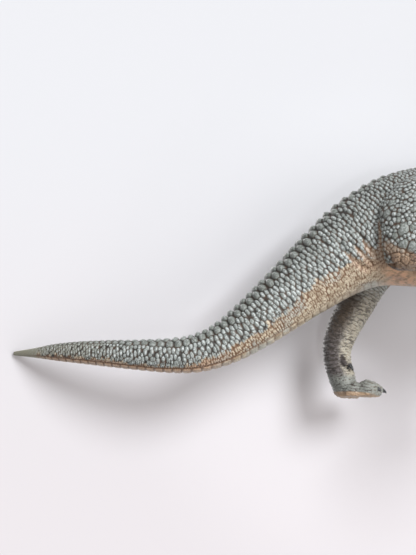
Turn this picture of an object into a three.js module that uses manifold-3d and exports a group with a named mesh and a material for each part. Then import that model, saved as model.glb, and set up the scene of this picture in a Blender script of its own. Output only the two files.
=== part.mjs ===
// A toy theropod dinosaur about 29 cm long, walking on two feet with its head towards +X.
// The trunk is two hollow half shells. Tail, head and legs plug into it and are glued, the arms
// swivel in its shoulders, and the lower jaw turns on a steel pin. Sizes are in millimetres, +Z up.
import * as THREE from "three";
import { mergeVertices } from "three/addons/utils/BufferGeometryUtils.js";
import Module from "manifold-3d";

const wasm = await Module();
wasm.setup();

// Body: one smooth form from tail tip to head, cut into tail, trunk and the back of the head.
const hipHeight = 60; // floor to the middle of the trunk at the hips
const trunkDepth = 46; // back to belly, at the ribs
const trunkBreadth = 39.6; // across the ribs
const tailReach = 154; // hips to tail tip
const tailSway = 24; // how far the tail tip swings to the left
const neckReach = 82; // hips to the foremost part of the neck's lower seam

// Trunk shells and what holds the pieces together.
const shellWall = 2.2;
const bulkhead = 3; // end walls that the tail and head plug into
const glueGap = 0.3; // between pieces that are glued or lie close
const runningGap = 0.35; // between pieces that turn
const tailPlugReach = 7; // each way from the seam
const tailPlugSide = 13;
const headPlugReach = 7.5; // from the seam back into the trunk
const headPlugRoot = 1.5; // from the seam up into the head
const headPlugSide = 8;
const postRadius = 2.8; // posts that line the two shells up
const postPinRadius = 1.3;
const postPinLength = 3.2;

// Legs.
const stride = 40; // unit of the fore and aft places of the legs
const stance = 20; // midline to the middle of a foot
const thighDepth = 40; // front to back
const thighBreadth = 24;
const hipPegRadius = 5; // six-sided, so that the leg can't turn
const hipPegLength = 12;
const hipSleeveRadius = 7.6;
const toeLength = 15;
const toeBreadth = 5.4;
const toeThickness = 6.3;
const soleSink = 0.6; // what the flat sole takes off each pad
const toeClawLength = 2;
const toeClawThickness = 2;
const innerClawLength = 3.2;

// Arms.
const shoulderPocketDepth = 3.8; // from the trunk's side to the pocket's flat floor
const shoulderPocketRadius = 6.2;
const shoulderSeatThickness = 3;
const shoulderBossRadius = 5.8;
const shoulderBossStand = 2; // how far the arm's round foot stands out of the trunk
const shoulderPegRadius = 2.1;
const shoulderHeadRadius = 3.2; // mushroom end that keeps the arm in
const shoulderHeadLength = 2.4;
const armStand = 4.2; // from the trunk's side to the middle of the arm
const armReach = 20; // unit of the places along the arm
const armThickness = 8.8;
const fingerLength = 4.6;
const fingerThickness = 2.2;
const fingerClawLength = 3.2;
const fingerClawThickness = 1.8;

// Head, in its own frame: origin on the jaw's hinge, first axis to the snout, last axis up.
const hingeRise = 8; // from the neck's seam up along the neck
const hingeAhead = 7.8; // from the middle of the neck towards the throat
const headPitch = 8; // degrees, snout down
const headLength = 45; // hinge to snout tip
const headHeight = 18.4; // tooth line to brow
const headBreadth = 22;
const toothLine = 4; // height of the tooth line above the hinge
const cheekDrop = 8.6; // how far the cheeks hang below the tooth line
const cheekWall = 3; // beside the jaw's hinge
const lipWall = 1;
const mouthRoof = 3.4; // tooth line to the roof of the mouth
const hollowRise = 17; // from the neck's seam up into the hollow of the skull
const hollowNeckRadius = 2.6;
const eyeRadius = 2.1;
const jawDepth = 9;
const jawInset = 2.8; // how far the lower jaw lies inside the upper lip
const jawTopGap = 0.6; // top of the shut jaw below the tooth line
const jawTrough = 2.6;
const restGape = 14; // degrees the mouth stands open
const widestGape = 24; // degrees at the joint's stop
const knuckleRadius = 6.4;
const pinRadius = 0.9;
const pinClearance = 0.15;
const pinRecess = 1.2; // pin ends below the cheeks
const gumWidth = 1.1;
const gumHeight = 1.5;
const gumGap = 0.45; // gum strip to the lip or jaw wall beside it
const gumSeatGap = 0.6; // gum strip to the roof or floor that it lies on
const upperToothLength = 4.9;
const upperToothWidth = 2.9;
const lowerToothLength = 3.7;
const lowerToothWidth = 2.2;
const teethPerSide = 10;
const tongueLength = 24;
const tongueBreadth = 7;
const tongueThickness = 1.8;

const cutReach = 2 * tailReach; // size of the blocks that cut pieces
const weld = 1e-4;
const bodySides = 24;
const haunchSides = 24;
const skullSides = 20;
const limbSides = 16;
const ballSides = 12;
const pinSides = 12;
const toeSides = 8;
const smallSides = 6;
const bodySteps = 36;
const skullSteps = 18;
const shankSteps = 12;
const limbSteps = 10;
const smallSteps = 3;
const degree = Math.PI / 180;
const toLeft = new THREE.Vector3(0, 1, 0);
const forwards = new THREE.Vector3(1, 0, 0);
const upwards = new THREE.Vector3(0, 0, 1);
const sides = [1, -1]; // left, right

function vector(x, y, z) {
  return new THREE.Vector3(x, y, z);
}

// A point some way from another along a direction.
function offset(point, direction, distance) {
  return point.clone().addScaledVector(direction, distance);
}

// Joins a closed mesh's shared corners and hands it over as a solid that can be cut.
function solid(geometry) {
  const bare = geometry.clone();
  bare.deleteAttribute("normal");
  bare.deleteAttribute("uv");
  const merged = mergeVertices(bare, weld);
  return new wasm.Manifold(
    new wasm.Mesh({
      numProp: 3,
      vertProperties: merged.attributes.position.array,
      triVerts: new Uint32Array(merged.index.array),
    }),
  );
}

function joined(solids) {
  return solids.reduce((sum, next) => sum.add(next));
}

// A closed skin over a row of rings with equal counts, each running from left over the top.
function loft(rings) {
  const count = rings[0].length;
  const points = rings.flat();
  const middleOf = (ring) =>
    ring.reduce((sum, p) => sum.add(p), vector(0, 0, 0)).divideScalar(count);
  points.push(middleOf(rings[0]), middleOf(rings[rings.length - 1]));
  const startMiddle = points.length - 2;
  const endMiddle = points.length - 1;
  const index = [];
  for (let r = 0; r < rings.length - 1; r++) {
    for (let i = 0; i < count; i++) {
      const a = r * count + i;
      const b = r * count + ((i + 1) % count);
      index.push(a, b, b + count, a, b + count, a + count);
    }
  }
  const last = (rings.length - 1) * count;
  for (let i = 0; i < count; i++) {
    const next = (i + 1) % count;
    index.push(startMiddle, next, i, endMiddle, last + i, last + next);
  }
  const geometry = new THREE.BufferGeometry().setFromPoints(points);
  geometry.setIndex(index);
  return geometry;
}

// A place on a limb's path, with its half breadth and its reach above and below there.
function station(at, across, over = across, under = over) {
  return { at, across, over, under };
}

// The outline of a section across a path: corner 1 is an ellipse, and less is boxier.
function sectionRing({ at, tangent, across, over, under }, count, corner) {
  const side = toLeft.clone().addScaledVector(tangent, -tangent.y).normalize();
  const top = tangent.clone().cross(side);
  return Array.from({ length: count }, (_, i) => {
    const angle = (i / count) * 2 * Math.PI;
    const c = Math.cos(angle);
    const s = Math.sin(angle);
    const reach = s > 0 ? over : under;
    return at
      .clone()
      .addScaledVector(side, Math.sign(c) * Math.abs(c) ** corner * across)
      .addScaledVector(top, Math.sign(s) * Math.abs(s) ** corner * reach);
  });
}

// A smooth curve through hand-placed points.
function curveThrough(points) {
  return new THREE.CatmullRomCurve3(points, false, "catmullrom");
}

// A rounded limb through hand-placed stations, grown outwards all round if asked.
function limb(stations, steps, count, corner = 1, grow = 0) {
  const path = curveThrough(stations.map((s) => s.at));
  const sizes = curveThrough(stations.map((s) => vector(s.across, s.over, s.under)));
  const rings = Array.from({ length: steps + 1 }, (_, i) => {
    const size = sizes.getPoint(i / steps);
    const section = {
      at: path.getPoint(i / steps),
      tangent: path.getTangent(i / steps),
      across: size.x + grow,
      over: size.y + grow,
      under: size.z + grow,
    };
    return sectionRing(section, count, corner);
  });
  return solid(loft(rings));
}

// A round or many-sided bar across the figure, between two distances from the midline.
function crossBar(x, z, from, to, radius, count = limbSides) {
  const bar = new THREE.CylinderGeometry(radius, radius, Math.abs(to - from), count);
  return solid(bar.translate(x, (from + to) / 2, z));
}

function block(centre, direction, length, width, height) {
  const box = new THREE.BoxGeometry(length, width, height);
  box.applyQuaternion(new THREE.Quaternion().setFromUnitVectors(forwards, direction));
  return solid(box.translate(centre.x, centre.y, centre.z));
}

// All that lies ahead of a plane, as a block large enough to cut any piece.
function ahead({ point, direction }, shift = 0) {
  const centre = offset(point, direction, shift + cutReach / 2);
  return block(centre, direction, cutReach, cutReach, cutReach);
}

function ball(centre, reachX, reachY = reachX, reachZ = reachX, tilt = 0) {
  const shape = new THREE.SphereGeometry(1, ballSides, ballSides / 2);
  shape.scale(reachX, reachY, reachZ).rotateY(tilt * degree);
  return solid(shape.translate(centre.x, centre.y, centre.z));
}

// Places along the body: ahead of the hips as a share of neckReach and behind them of
// tailReach, then height of hipHeight, depth of trunkDepth, breadth of trunkBreadth, and sway.
const bodyShares = [
  [-0.997, 0.277, 0.035, 0.04, 1],
  [-0.942, 0.272, 0.08, 0.085, 0.79],
  [-0.883, 0.267, 0.136, 0.136, 0.59],
  [-0.818, 0.257, 0.175, 0.177, 0.41],
  [-0.75, 0.243, 0.205, 0.207, 0.26],
  [-0.682, 0.23, 0.228, 0.237, 0.15],
  [-0.614, 0.222, 0.254, 0.268, 0.07],
  [-0.552, 0.232, 0.28, 0.303, 0.025],
  [-0.492, 0.283, 0.315, 0.343, 0],
  [-0.429, 0.382, 0.375, 0.4, 0],
  [-0.36, 0.52, 0.448, 0.47, 0],
  [-0.289, 0.667, 0.53, 0.55, 0],
  [-0.221, 0.803, 0.63, 0.636, 0],
  [-0.156, 0.905, 0.75, 0.727, 0],
  [-0.09, 0.967, 0.875, 0.818, 0],
  [-0.023, 0.997, 0.94, 0.879, 0],
  [0.09, 1.008, 0.966, 0.919, 0],
  [0.244, 0.992, 1, 0.975, 0],
  [0.4, 0.977, 1, 1, 0],
  [0.54, 0.985, 0.952, 0.955, 0],
  [0.66, 1.035, 0.878, 0.855, 0],
  [0.76, 1.13, 0.778, 0.73, 0],
  [0.84, 1.27, 0.677, 0.626, 0],
  [0.9, 1.425, 0.6, 0.55, 0],
  [0.95, 1.57, 0.544, 0.505, 0],
  [1, 1.69, 0.49, 0.475, 0],
  [1.06, 1.77, 0.4, 0.42, 0],
];
const tailSeamShare = 0.506; // of the way along the stations
const neckSeamShare = 0.923;
const cavityFirst = 11; // stations that the hollow of the trunk runs between
const cavityLast = 25;
const bodyCorner = 0.93;

const bodyStations = bodyShares.map(([along, height, depth, breadth, sway]) =>
  station(
    vector(along * (along < 0 ? tailReach : neckReach), sway * tailSway, height * hipHeight),
    (breadth * trunkBreadth) / 2,
    (depth * trunkDepth) / 2,
  ),
);
const spine = curveThrough(bodyStations.map((s) => s.at));

// A seam across the body: the plane square to the spine there.
function seamAt(share) {
  return { point: spine.getPoint(share), direction: spine.getTangent(share) };
}

// The height of the trunk's middle and its half breadth, at a distance ahead of the hips.
function trunkAt(x) {
  const next = bodyStations.findIndex((s) => s.at.x >= x);
  const a = bodyStations[next - 1];
  const b = bodyStations[next];
  const mix = (x - a.at.x) / (b.at.x - a.at.x);
  return {
    z: a.at.z + (b.at.z - a.at.z) * mix,
    half: a.across + (b.across - a.across) * mix,
  };
}

const origin = vector(0, 0, 0);
const midline = { point: origin, direction: toLeft };
const underFloor = { point: origin, direction: upwards.clone().negate() };
const tailSeam = seamAt(tailSeamShare);
const neckSeam = seamAt(neckSeamShare);
const body = limb(bodyStations, bodySteps, bodySides, bodyCorner);
const clearOfBody = limb(bodyStations, bodySteps, bodySides, bodyCorner, glueGap);

const hipShare = -0.036; // of neckReach
const hipX = hipShare * neckReach;
const shoulderShares = { along: 0.683, drop: 0.16 }; // of neckReach and trunkDepth
const shoulderX = shoulderShares.along * neckReach;
const shoulderZ = trunkAt(shoulderX).z - shoulderShares.drop * trunkDepth;
const shoulderSide = trunkAt(shoulderX).half;
const shoulderFloor = shoulderSide - shoulderPocketDepth;
const shoulderSeatInside = shoulderFloor - shoulderSeatThickness;

function hipBar(side, from, to, radius, count) {
  return crossBar(hipX, hipHeight, side * from, side * to, radius, count);
}

function shoulderBar(side, from, to, radius) {
  return crossBar(shoulderX, shoulderZ, side * from, side * to, radius);
}

// A square plug across a seam, or the room for one.
function plug(seam, from, to, side) {
  const centre = offset(seam.point, seam.direction, (from + to) / 2);
  return block(centre, seam.direction, to - from, side, side);
}

function buildTail() {
  return body
    .subtract(ahead(tailSeam, -glueGap / 2))
    .add(plug(tailSeam, -tailPlugReach, tailPlugReach, tailPlugSide));
}

// Posts between the shells: ahead of the hips as a share of neckReach, and above the trunk's
// middle of trunkDepth.
const postShares = [
  [0.2, 0.3],
  [0.42, -0.33],
  [0.82, 0.08],
];

function postBars(from, to, radius) {
  const bars = postShares.map(([along, up]) => {
    const x = along * neckReach;
    return crossBar(x, trunkAt(x).z + up * trunkDepth, from, to, radius, pinSides);
  });
  return joined(bars);
}

function buildTrunk() {
  const outside = body
    .intersect(ahead(tailSeam, glueGap / 2))
    .subtract(ahead(neckSeam, -glueGap / 2));
  const cavityStations = bodyStations.slice(cavityFirst, cavityLast + 1);
  const cavity = limb(cavityStations, bodySteps / 2, limbSides, bodyCorner, -shellWall)
    .intersect(ahead(tailSeam, bulkhead))
    .subtract(ahead(neckSeam, -bulkhead));

  const sleeves = sides.flatMap((side) => [
    hipBar(side, stance - hipPegLength, trunkBreadth, hipSleeveRadius),
    shoulderBar(side, shoulderSeatInside, trunkBreadth, shoulderPocketRadius + shellWall),
  ]);
  const posts = postBars(-trunkBreadth, trunkBreadth, postRadius);
  const holes = sides.flatMap((side) => [
    hipBar(side, 0, trunkBreadth, hipPegRadius + glueGap, smallSides),
    shoulderBar(side, shoulderFloor, trunkBreadth, shoulderPocketRadius),
    shoulderBar(side, 0, trunkBreadth, shoulderPegRadius + runningGap),
  ]);
  const plugRooms = [
    plug(tailSeam, -tailPlugReach, tailPlugReach + glueGap, tailPlugSide + 2 * glueGap),
    plug(neckSeam, -headPlugReach - glueGap, headPlugReach, headPlugSide + 2 * glueGap),
  ];
  const trunk = outside
    .subtract(cavity)
    .add(joined([...sleeves, posts]).intersect(outside))
    .subtract(joined([...holes, ...plugRooms]));
  const pins = postBars(-postPinLength, postPinLength, postPinRadius);
  const sockets = postBars(-postPinLength - glueGap, 0, postPinRadius + glueGap);
  return {
    left: trunk.intersect(ahead(midline)).add(pins),
    right: trunk.subtract(ahead(midline)).subtract(sockets),
  };
}

// Leg stations: fore and aft as a share of stride, height of hipHeight, distance from the
// midline of stance, depth of thighDepth and breadth of thighBreadth.
const leftLegShares = {
  haunch: [
    [-0.06, 1.27, 0.36, 0.17, 0.22],
    [-0.07, 1.22, 0.45, 0.48, 0.42],
    [-0.08, 1.12, 0.58, 0.74, 0.74],
    [-0.09, 1, 0.65, 0.8, 0.94],
    [-0.1, 0.88, 0.68, 0.66, 0.88],
    [-0.12, 0.78, 0.7, 0.44, 0.66],
    [-0.13, 0.71, 0.7, 0.2, 0.3],
  ],
  thigh: [
    [-0.1, 1.06, 0.62, 0.4, 0.6],
    [-0.14, 1, 0.66, 0.66, 0.84],
    [-0.22, 0.91, 0.72, 0.62, 0.88],
    [-0.3, 0.84, 0.79, 0.5, 0.78],
    [-0.36, 0.79, 0.83, 0.38, 0.62],
    [-0.39, 0.765, 0.85, 0.2, 0.35],
  ],
  shank: [
    [-0.3, 0.93, 0.82, 0.25, 0.42],
    [-0.375, 0.86, 0.85, 0.41, 0.67],
    [-0.46, 0.78, 0.87, 0.395, 0.63],
    [-0.54, 0.69, 0.89, 0.36, 0.58],
    [-0.62, 0.59, 0.91, 0.335, 0.54],
    [-0.69, 0.5, 0.93, 0.31, 0.5],
    [-0.765, 0.403, 0.95, 0.285, 0.46],
    [-0.81, 0.315, 0.97, 0.265, 0.43],
    [-0.81, 0.223, 0.99, 0.245, 0.4],
    [-0.78, 0.143, 1, 0.24, 0.43],
    [-0.757, 0.083, 1, 0.225, 0.5],
    [-0.745, 0.03, 1, 0.15, 0.42],
  ],
};
const rightLegShares = {
  haunch: [
    [-0.05, 1.28, 0.36, 0.17, 0.22],
    [-0.05, 1.23, 0.45, 0.5, 0.42],
    [-0.05, 1.13, 0.58, 0.82, 0.74],
    [-0.05, 1, 0.65, 1, 0.96],
    [-0.05, 0.9, 0.68, 1, 0.94],
    [-0.05, 0.82, 0.7, 0.96, 0.84],
    [-0.05, 0.775, 0.7, 0.84, 0.66],
    [-0.04, 0.745, 0.7, 0.6, 0.42],
    [-0.03, 0.725, 0.7, 0.22, 0.16],
  ],
  thigh: [
    [-0.12, 1.08, 0.6, 0.46, 0.6],
    [0.06, 1, 0.65, 0.76, 0.9],
    [0.27, 0.9, 0.7, 0.82, 0.94],
    [0.47, 0.805, 0.77, 0.73, 0.85],
    [0.64, 0.73, 0.83, 0.53, 0.71],
    [0.76, 0.68, 0.85, 0.36, 0.52],
    [0.82, 0.655, 0.85, 0.15, 0.22],
  ],
  shank: [
    [0.77, 0.82, 0.83, 0.2, 0.34],
    [0.79, 0.77, 0.85, 0.4, 0.64],
    [0.79, 0.69, 0.87, 0.44, 0.67],
    [0.75, 0.58, 0.89, 0.415, 0.62],
    [0.69, 0.48, 0.915, 0.355, 0.54],
    [0.63, 0.39, 0.94, 0.305, 0.475],
    [0.6, 0.305, 0.965, 0.275, 0.44],
    [0.61, 0.225, 0.985, 0.25, 0.4],
    [0.66, 0.147, 1, 0.24, 0.43],
    [0.71, 0.083, 1, 0.225, 0.5],
    [0.73, 0.03, 1, 0.15, 0.42],
  ],
};

function legStations(shares, side) {
  return shares.map(([along, height, out, depth, breadth]) =>
    station(
      vector(along * stride, side * out * stance, height * hipHeight),
      (breadth * thighBreadth) / 2,
      (depth * thighDepth) / 2,
    ),
  );
}

// Claw stations: along as a share of the claw's length, then rise, half breadth and half
// height of its thickness.
const clawShares = [
  [-0.25, 0.28, 0.42, 0.45],
  [0.15, 0.3, 0.46, 0.5],
  [0.45, 0.22, 0.36, 0.4],
  [0.75, -0.02, 0.22, 0.24],
  [1, -0.34, 0.05, 0.06],
];

function claw(root, direction, length, thickness) {
  const stations = clawShares.map(([along, rise, across, depth]) =>
    station(
      offset(root, direction, along * length).addScaledVector(upwards, rise * thickness),
      across * thickness,
      depth * thickness,
    ),
  );
  return limb(stations, smallSteps, smallSides);
}

// Toe stations: along as a share of the toe's length, height of its thickness, half breadth of
// its breadth, and reach above and below of its thickness. The swellings are its knuckles.
const toeShares = [
  [0, 0.5, 0.44, 0.46, 0.5],
  [0.25, 0.5, 0.5, 0.5, 0.55],
  [0.45, 0.46, 0.44, 0.42, 0.5],
  [0.68, 0.52, 0.52, 0.54, 0.56],
  [0.88, 0.48, 0.42, 0.42, 0.42],
  [1, 0.44, 0.26, 0.26, 0.28],
];
const toeClawHeightShare = 0.3; // of toeThickness

function toe(base, heading, length) {
  const direction = vector(Math.cos(heading * degree), Math.sin(heading * degree), 0);
  const stations = toeShares.map(([along, height, across, over, under]) => {
    const rise = height * toeThickness - soleSink;
    return station(
      offset(base, direction, along * length).addScaledVector(upwards, rise),
      across * toeBreadth,
      over * toeThickness,
      under * toeThickness,
    );
  });
  const tip = offset(base, direction, length);
  tip.addScaledVector(upwards, toeClawHeightShare * toeThickness);
  return [
    limb(stations, limbSteps, toeSides),
    claw(tip, direction, toeClawLength, toeClawThickness),
  ];
}

// The three toes that carry the foot: start ahead of the pad and out from it as shares of
// toeBreadth, outward heading in degrees, and length as a share of toeLength.
const toeSpread = [
  { aheadShare: 0, outShare: -0.7, heading: -13, lengthShare: 0.74 },
  { aheadShare: 0.1, outShare: 0, heading: 2, lengthShare: 0.87 },
  { aheadShare: -0.15, outShare: 0.7, heading: 26, lengthShare: 0.56 },
];
// The small inner toe: its places ahead of the pad, in towards the midline and up, as shares of
// toeLength, and its half thickness of toeBreadth.
const innerToeShares = [
  [-0.12, 0.1, 1.08, 0.3],
  [-0.06, 0.25, 0.95, 0.34],
  [0, 0.33, 0.83, 0.3],
  [0.04, 0.35, 0.77, 0.22],
];
const innerClawInwardShare = 0.2;
const heelPadShares = { backShare: 0.08, longShare: 0.78, wideShare: 0.95, tallShare: 0.48 };

function buildFoot(side, pad) {
  const toes = toeSpread.flatMap(({ aheadShare, outShare, heading, lengthShare }) =>
    toe(
      vector(aheadShare * toeBreadth, side * outShare * toeBreadth, 0).add(pad),
      side * heading,
      lengthShare * toeLength,
    ),
  );
  const innerToe = innerToeShares.map(([along, inwards, height, thick]) =>
    station(
      offset(pad, vector(along, -side * inwards, height), toeLength),
      thick * toeBreadth,
    ),
  );
  const innerTip = innerToe[innerToe.length - 1].at;
  const innerHeading = vector(1, -side * innerClawInwardShare, -1).normalize();
  const heelHeight = heelPadShares.tallShare * toeThickness;
  const heelPad = ball(
    vector(-heelPadShares.backShare * toeBreadth, 0, heelHeight).add(pad),
    heelPadShares.longShare * toeBreadth,
    heelPadShares.wideShare * toeBreadth,
    heelHeight + soleSink,
  );
  return joined([
    heelPad,
    ...toes,
    limb(innerToe, smallSteps, smallSides),
    claw(innerTip, innerHeading, innerClawLength, toeClawThickness),
  ]);
}

function buildLeg(side, shares) {
  const shank = legStations(shares.shank, side);
  const pad = shank[shank.length - 1].at.clone().setZ(0);
  const flesh = joined([
    limb(legStations(shares.haunch, side), limbSteps, haunchSides),
    limb(legStations(shares.thigh, side), limbSteps, limbSides),
    limb(shank, shankSteps, limbSides),
    buildFoot(side, pad),
  ]);
  const peg = hipBar(side, stance - hipPegLength + glueGap, stance, hipPegRadius, smallSides);
  return flesh.subtract(clearOfBody).add(peg).subtract(ahead(underFloor));
}

// Arm stations: ahead of and above the shoulder as shares of armReach, distance from the
// midline of the arm's own, and thickness of armThickness.
const upperArmShares = [
  [0.12, 0.12, 0.98, 0.5],
  [0.04, 0, 0.99, 1.12],
  [-0.06, -0.22, 1, 0.96],
  [-0.18, -0.42, 1.02, 0.78],
  [-0.26, -0.58, 1.02, 0.66],
  [-0.3, -0.68, 1.02, 0.36],
];
const forearmShares = [
  [-0.3, -0.52, 1.02, 0.4],
  [-0.24, -0.64, 1.02, 0.64],
  [-0.06, -0.78, 1, 0.6],
  [0.14, -0.9, 0.97, 0.46],
  [0.26, -0.97, 0.95, 0.44],
  [0.37, -1.04, 0.94, 0.5],
  [0.44, -1.09, 0.935, 0.26],
];
// Fingers: side to side as a share of fingerThickness, and degrees that each points down.
const fingerSpread = [
  { outShare: -0.85, steepness: 20 },
  { outShare: 0, steepness: 42 },
  { outShare: 0.85, steepness: 62 },
];
// Finger stations: along as a share of fingerLength, and half thickness of fingerThickness.
const fingerShares = [
  [0, 0.5],
  [0.4, 0.45],
  [0.75, 0.41],
  [1, 0.37],
];

function buildFinger(root, steepness) {
  const direction = vector(Math.cos(steepness * degree), 0, -Math.sin(steepness * degree));
  const stations = fingerShares.map(([along, thick]) =>
    station(offset(root, direction, along * fingerLength), thick * fingerThickness),
  );
  const tip = stations[stations.length - 1].at;
  return [
    limb(stations, smallSteps, smallSides),
    claw(tip, direction, fingerClawLength, fingerClawThickness),
  ];
}

function buildArm(side) {
  const armOut = side * (shoulderSide + armStand);
  const placed = (shares) =>
    shares.map(([along, height, out, thick]) =>
      station(
        vector(shoulderX + along * armReach, out * armOut, shoulderZ + height * armReach),
        (thick * armThickness) / 2,
      ),
    );
  const forearm = placed(forearmShares);
  const palm = forearm[forearm.length - 2].at;
  const fingers = fingerSpread.flatMap(({ outShare, steepness }) =>
    buildFinger(offset(palm, toLeft, side * outShare * fingerThickness), steepness),
  );
  const headOutside = shoulderSeatInside - runningGap;
  const bossEnd = shoulderSide + shoulderBossStand;
  return joined([
    shoulderBar(side, shoulderFloor + runningGap, bossEnd, shoulderBossRadius),
    shoulderBar(side, headOutside, bossEnd, shoulderPegRadius),
    shoulderBar(side, headOutside - shoulderHeadLength, headOutside, shoulderHeadRadius),
    limb(placed(upperArmShares), limbSteps, pinSides),
    limb(forearm, limbSteps, pinSides),
    ...fingers,
  ]);
}

const throatwards = vector(neckSeam.direction.z, 0, -neckSeam.direction.x);
const hinge = offset(neckSeam.point, neckSeam.direction, hingeRise).addScaledVector(
  throatwards,
  hingeAhead,
);
const jawPitch = headPitch + restGape;

// A point of the head: ahead of the hinge, left of the midline, up from the tooth line.
// The lower jaw has the same frame, turned further down by the rest gape.
function headPoint(forward, left, up, pitch = headPitch) {
  const turned = vector(forward, left, up + toothLine).applyAxisAngle(toLeft, pitch * degree);
  return turned.add(hinge);
}

function hingeBar(halfWidth, radius, count) {
  return crossBar(hinge.x, hinge.z, -halfWidth, halfWidth, radius, count);
}

// Skull stations: ahead as a share of headLength, reach above and below the tooth line of
// headHeight and cheekDrop, and breadth of headBreadth.
const skullShares = [
  [-0.26, 0.5, 0.1, 0.5],
  [-0.2, 0.74, 0.3, 0.74],
  [-0.1, 0.9, 0.8, 0.95],
  [0, 0.96, 1, 1],
  [0.09, 0.99, 0.85, 1],
  [0.18, 1, 0.4, 0.95],
  [0.27, 0.97, 0.15, 0.86],
  [0.37, 0.91, 0.08, 0.76],
  [0.5, 0.85, 0.08, 0.66],
  [0.64, 0.8, 0.08, 0.59],
  [0.78, 0.74, 0.08, 0.52],
  [0.89, 0.64, 0.08, 0.43],
  [0.96, 0.49, 0.07, 0.31],
  [1, 0.26, 0.05, 0.15],
];
// Hollow stations: ahead as a share of headLength, up and half height of headHeight, and half
// breadth of headBreadth.
const hollowShares = [
  [-0.2, 0.5, 0.05, 0.075],
  [-0.15, 0.52, 0.25, 0.225],
  [0, 0.6, 0.24, 0.28],
  [0.2, 0.62, 0.2, 0.28],
  [0.5, 0.56, 0.17, 0.2],
  [0.7, 0.54, 0.13, 0.14],
  [0.76, 0.54, 0.04, 0.05],
];
// Lumps and pits on the head: place and size as shares of its length, half breadth and height.
const browShares = {
  along: 0.2,
  out: 0.62,
  up: 0.8,
  longShare: 0.12,
  wideShare: 0.24,
  tallShare: 0.1,
};
const ridgeShares = {
  along: 0.5,
  out: 0.28,
  up: 0.74,
  longShare: 0.3,
  wideShare: 0.14,
  tallShare: 0.09,
};
const nostrilShares = {
  along: 0.9,
  out: 0.42,
  up: 0.36,
  longShare: 0.035,
  wideShare: 0.1,
  tallShare: 0.06,
};
const eyeShares = { along: 0.19, out: 0.7, up: 0.66 };
const ridgeSlope = 10; // degrees that the snout's top falls forwards
const mouthShares = [0.16, 0.3, 0.5, 0.7, 0.85, 0.94]; // of headLength, as the next two
const troughShares = [0.26, 0.4, 0.6, 0.75, 0.86];
const jawRoomShare = 0.3;
const skullCorner = 0.78;
const boxyCorner = 0.2;

// Half the skull's breadth at the tooth line, at a share of the head's length.
function skullHalf(share) {
  const next = skullShares.findIndex(([along]) => along >= share);
  const [a, , , wideA] = skullShares[next - 1];
  const [b, , , wideB] = skullShares[next];
  const mix = (share - a) / (b - a);
  return ((wideA + (wideB - wideA) * mix) * headBreadth) / 2;
}

const knuckleHalfWidth = headBreadth / 2 - cheekWall - runningGap;

function jawHalf(share) {
  return Math.min(skullHalf(share) - jawInset, knuckleHalfWidth);
}

// A place on the head's midline, some way above the tooth line.
function headStation(share, rise, pitch, across, over, under) {
  return station(headPoint(share * headLength, 0, rise, pitch), across, over, under);
}

function headPlace({ along, out, up }, side) {
  return headPoint(along * headLength, (side * out * headBreadth) / 2, up * headHeight);
}

function headLump(shares, side, slope = 0) {
  return ball(
    headPlace(shares, side),
    shares.longShare * headLength,
    (shares.wideShare * headBreadth) / 2,
    shares.tallShare * headHeight,
    headPitch + slope,
  );
}

// Room for the back of the lower jaw where it stands at one opening.
function jawRoom(gape) {
  const pitch = headPitch + gape;
  const front = jawRoomShare * headLength;
  const top = mouthRoof / 2;
  const bottom = -jawTopGap - jawDepth - 2 * runningGap;
  const direction = headPoint(1, 0, 0, pitch).sub(headPoint(0, 0, 0, pitch));
  const centre = headPoint(front / 2, 0, (top + bottom) / 2, pitch);
  return block(centre, direction, front, 2 * (knuckleHalfWidth + runningGap), top - bottom);
}

// The head is moulded hollow to keep the figure balanced: a passage from the plug up the neck
// into one long space above the roof of the mouth.
function headHollow() {
  const passage = [-headPlugReach - bulkhead, 0, hollowRise].map((along) =>
    station(offset(neckSeam.point, neckSeam.direction, along), hollowNeckRadius),
  );
  const skullPart = hollowShares.map(([along, up, tall, breadth]) =>
    headStation(along, up * headHeight, headPitch, breadth * headBreadth, tall * headHeight),
  );
  return joined([
    limb(passage, smallSteps, pinSides),
    limb(skullPart, limbSteps, pinSides),
  ]);
}

function buildHead() {
  const skullStations = skullShares.map(([along, over, under, breadth]) => {
    const half = (breadth * headBreadth) / 2;
    return headStation(along, 0, headPitch, half, over * headHeight, under * cheekDrop);
  });
  const mouthStations = mouthShares.map((share) =>
    headStation(share, 0, headPitch, skullHalf(share) - lipWall, mouthRoof, 2 * cheekDrop),
  );
  const neck = body.intersect(ahead(neckSeam, glueGap / 2));
  const raised = sides.flatMap((side) => [
    headLump(browShares, side),
    headLump(ridgeShares, side, ridgeSlope),
  ]);
  const sunk = sides.flatMap((side) => [
    headLump(nostrilShares, side),
    ball(headPlace(eyeShares, side), eyeRadius + glueGap),
  ]);
  const outside = joined([
    limb(skullStations, skullSteps, skullSides, skullCorner),
    neck,
    ...raised,
  ]);
  const rooms = joined([
    limb(mouthStations, limbSteps, limbSides, boxyCorner),
    hingeBar(knuckleHalfWidth + runningGap, knuckleRadius + runningGap),
    hingeBar(headBreadth, pinRadius + pinClearance, pinSides),
    jawRoom(0),
    jawRoom((restGape + widestGape) / 3),
    jawRoom(widestGape),
    ...sunk,
  ]);
  return outside
    .subtract(rooms)
    .add(plug(neckSeam, -headPlugReach, headPlugRoot, headPlugSide))
    .subtract(headHollow());
}

// Jaw stations: ahead as a share of headLength, reach below its top of jawDepth, and breadth
// of what the upper jaw leaves it.
const jawShares = [
  [-0.08, 0.5, 0.5],
  [0, 0.8, 0.8],
  [0.1, 0.97, 0.9],
  [0.22, 0.95, 1],
  [0.4, 0.82, 1],
  [0.6, 0.72, 1],
  [0.76, 0.66, 1],
  [0.86, 0.56, 1],
  [0.93, 0.34, 0.7],
];
const jawLipShare = 0.09; // rounding of the jaw's top edge, of jawDepth

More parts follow.
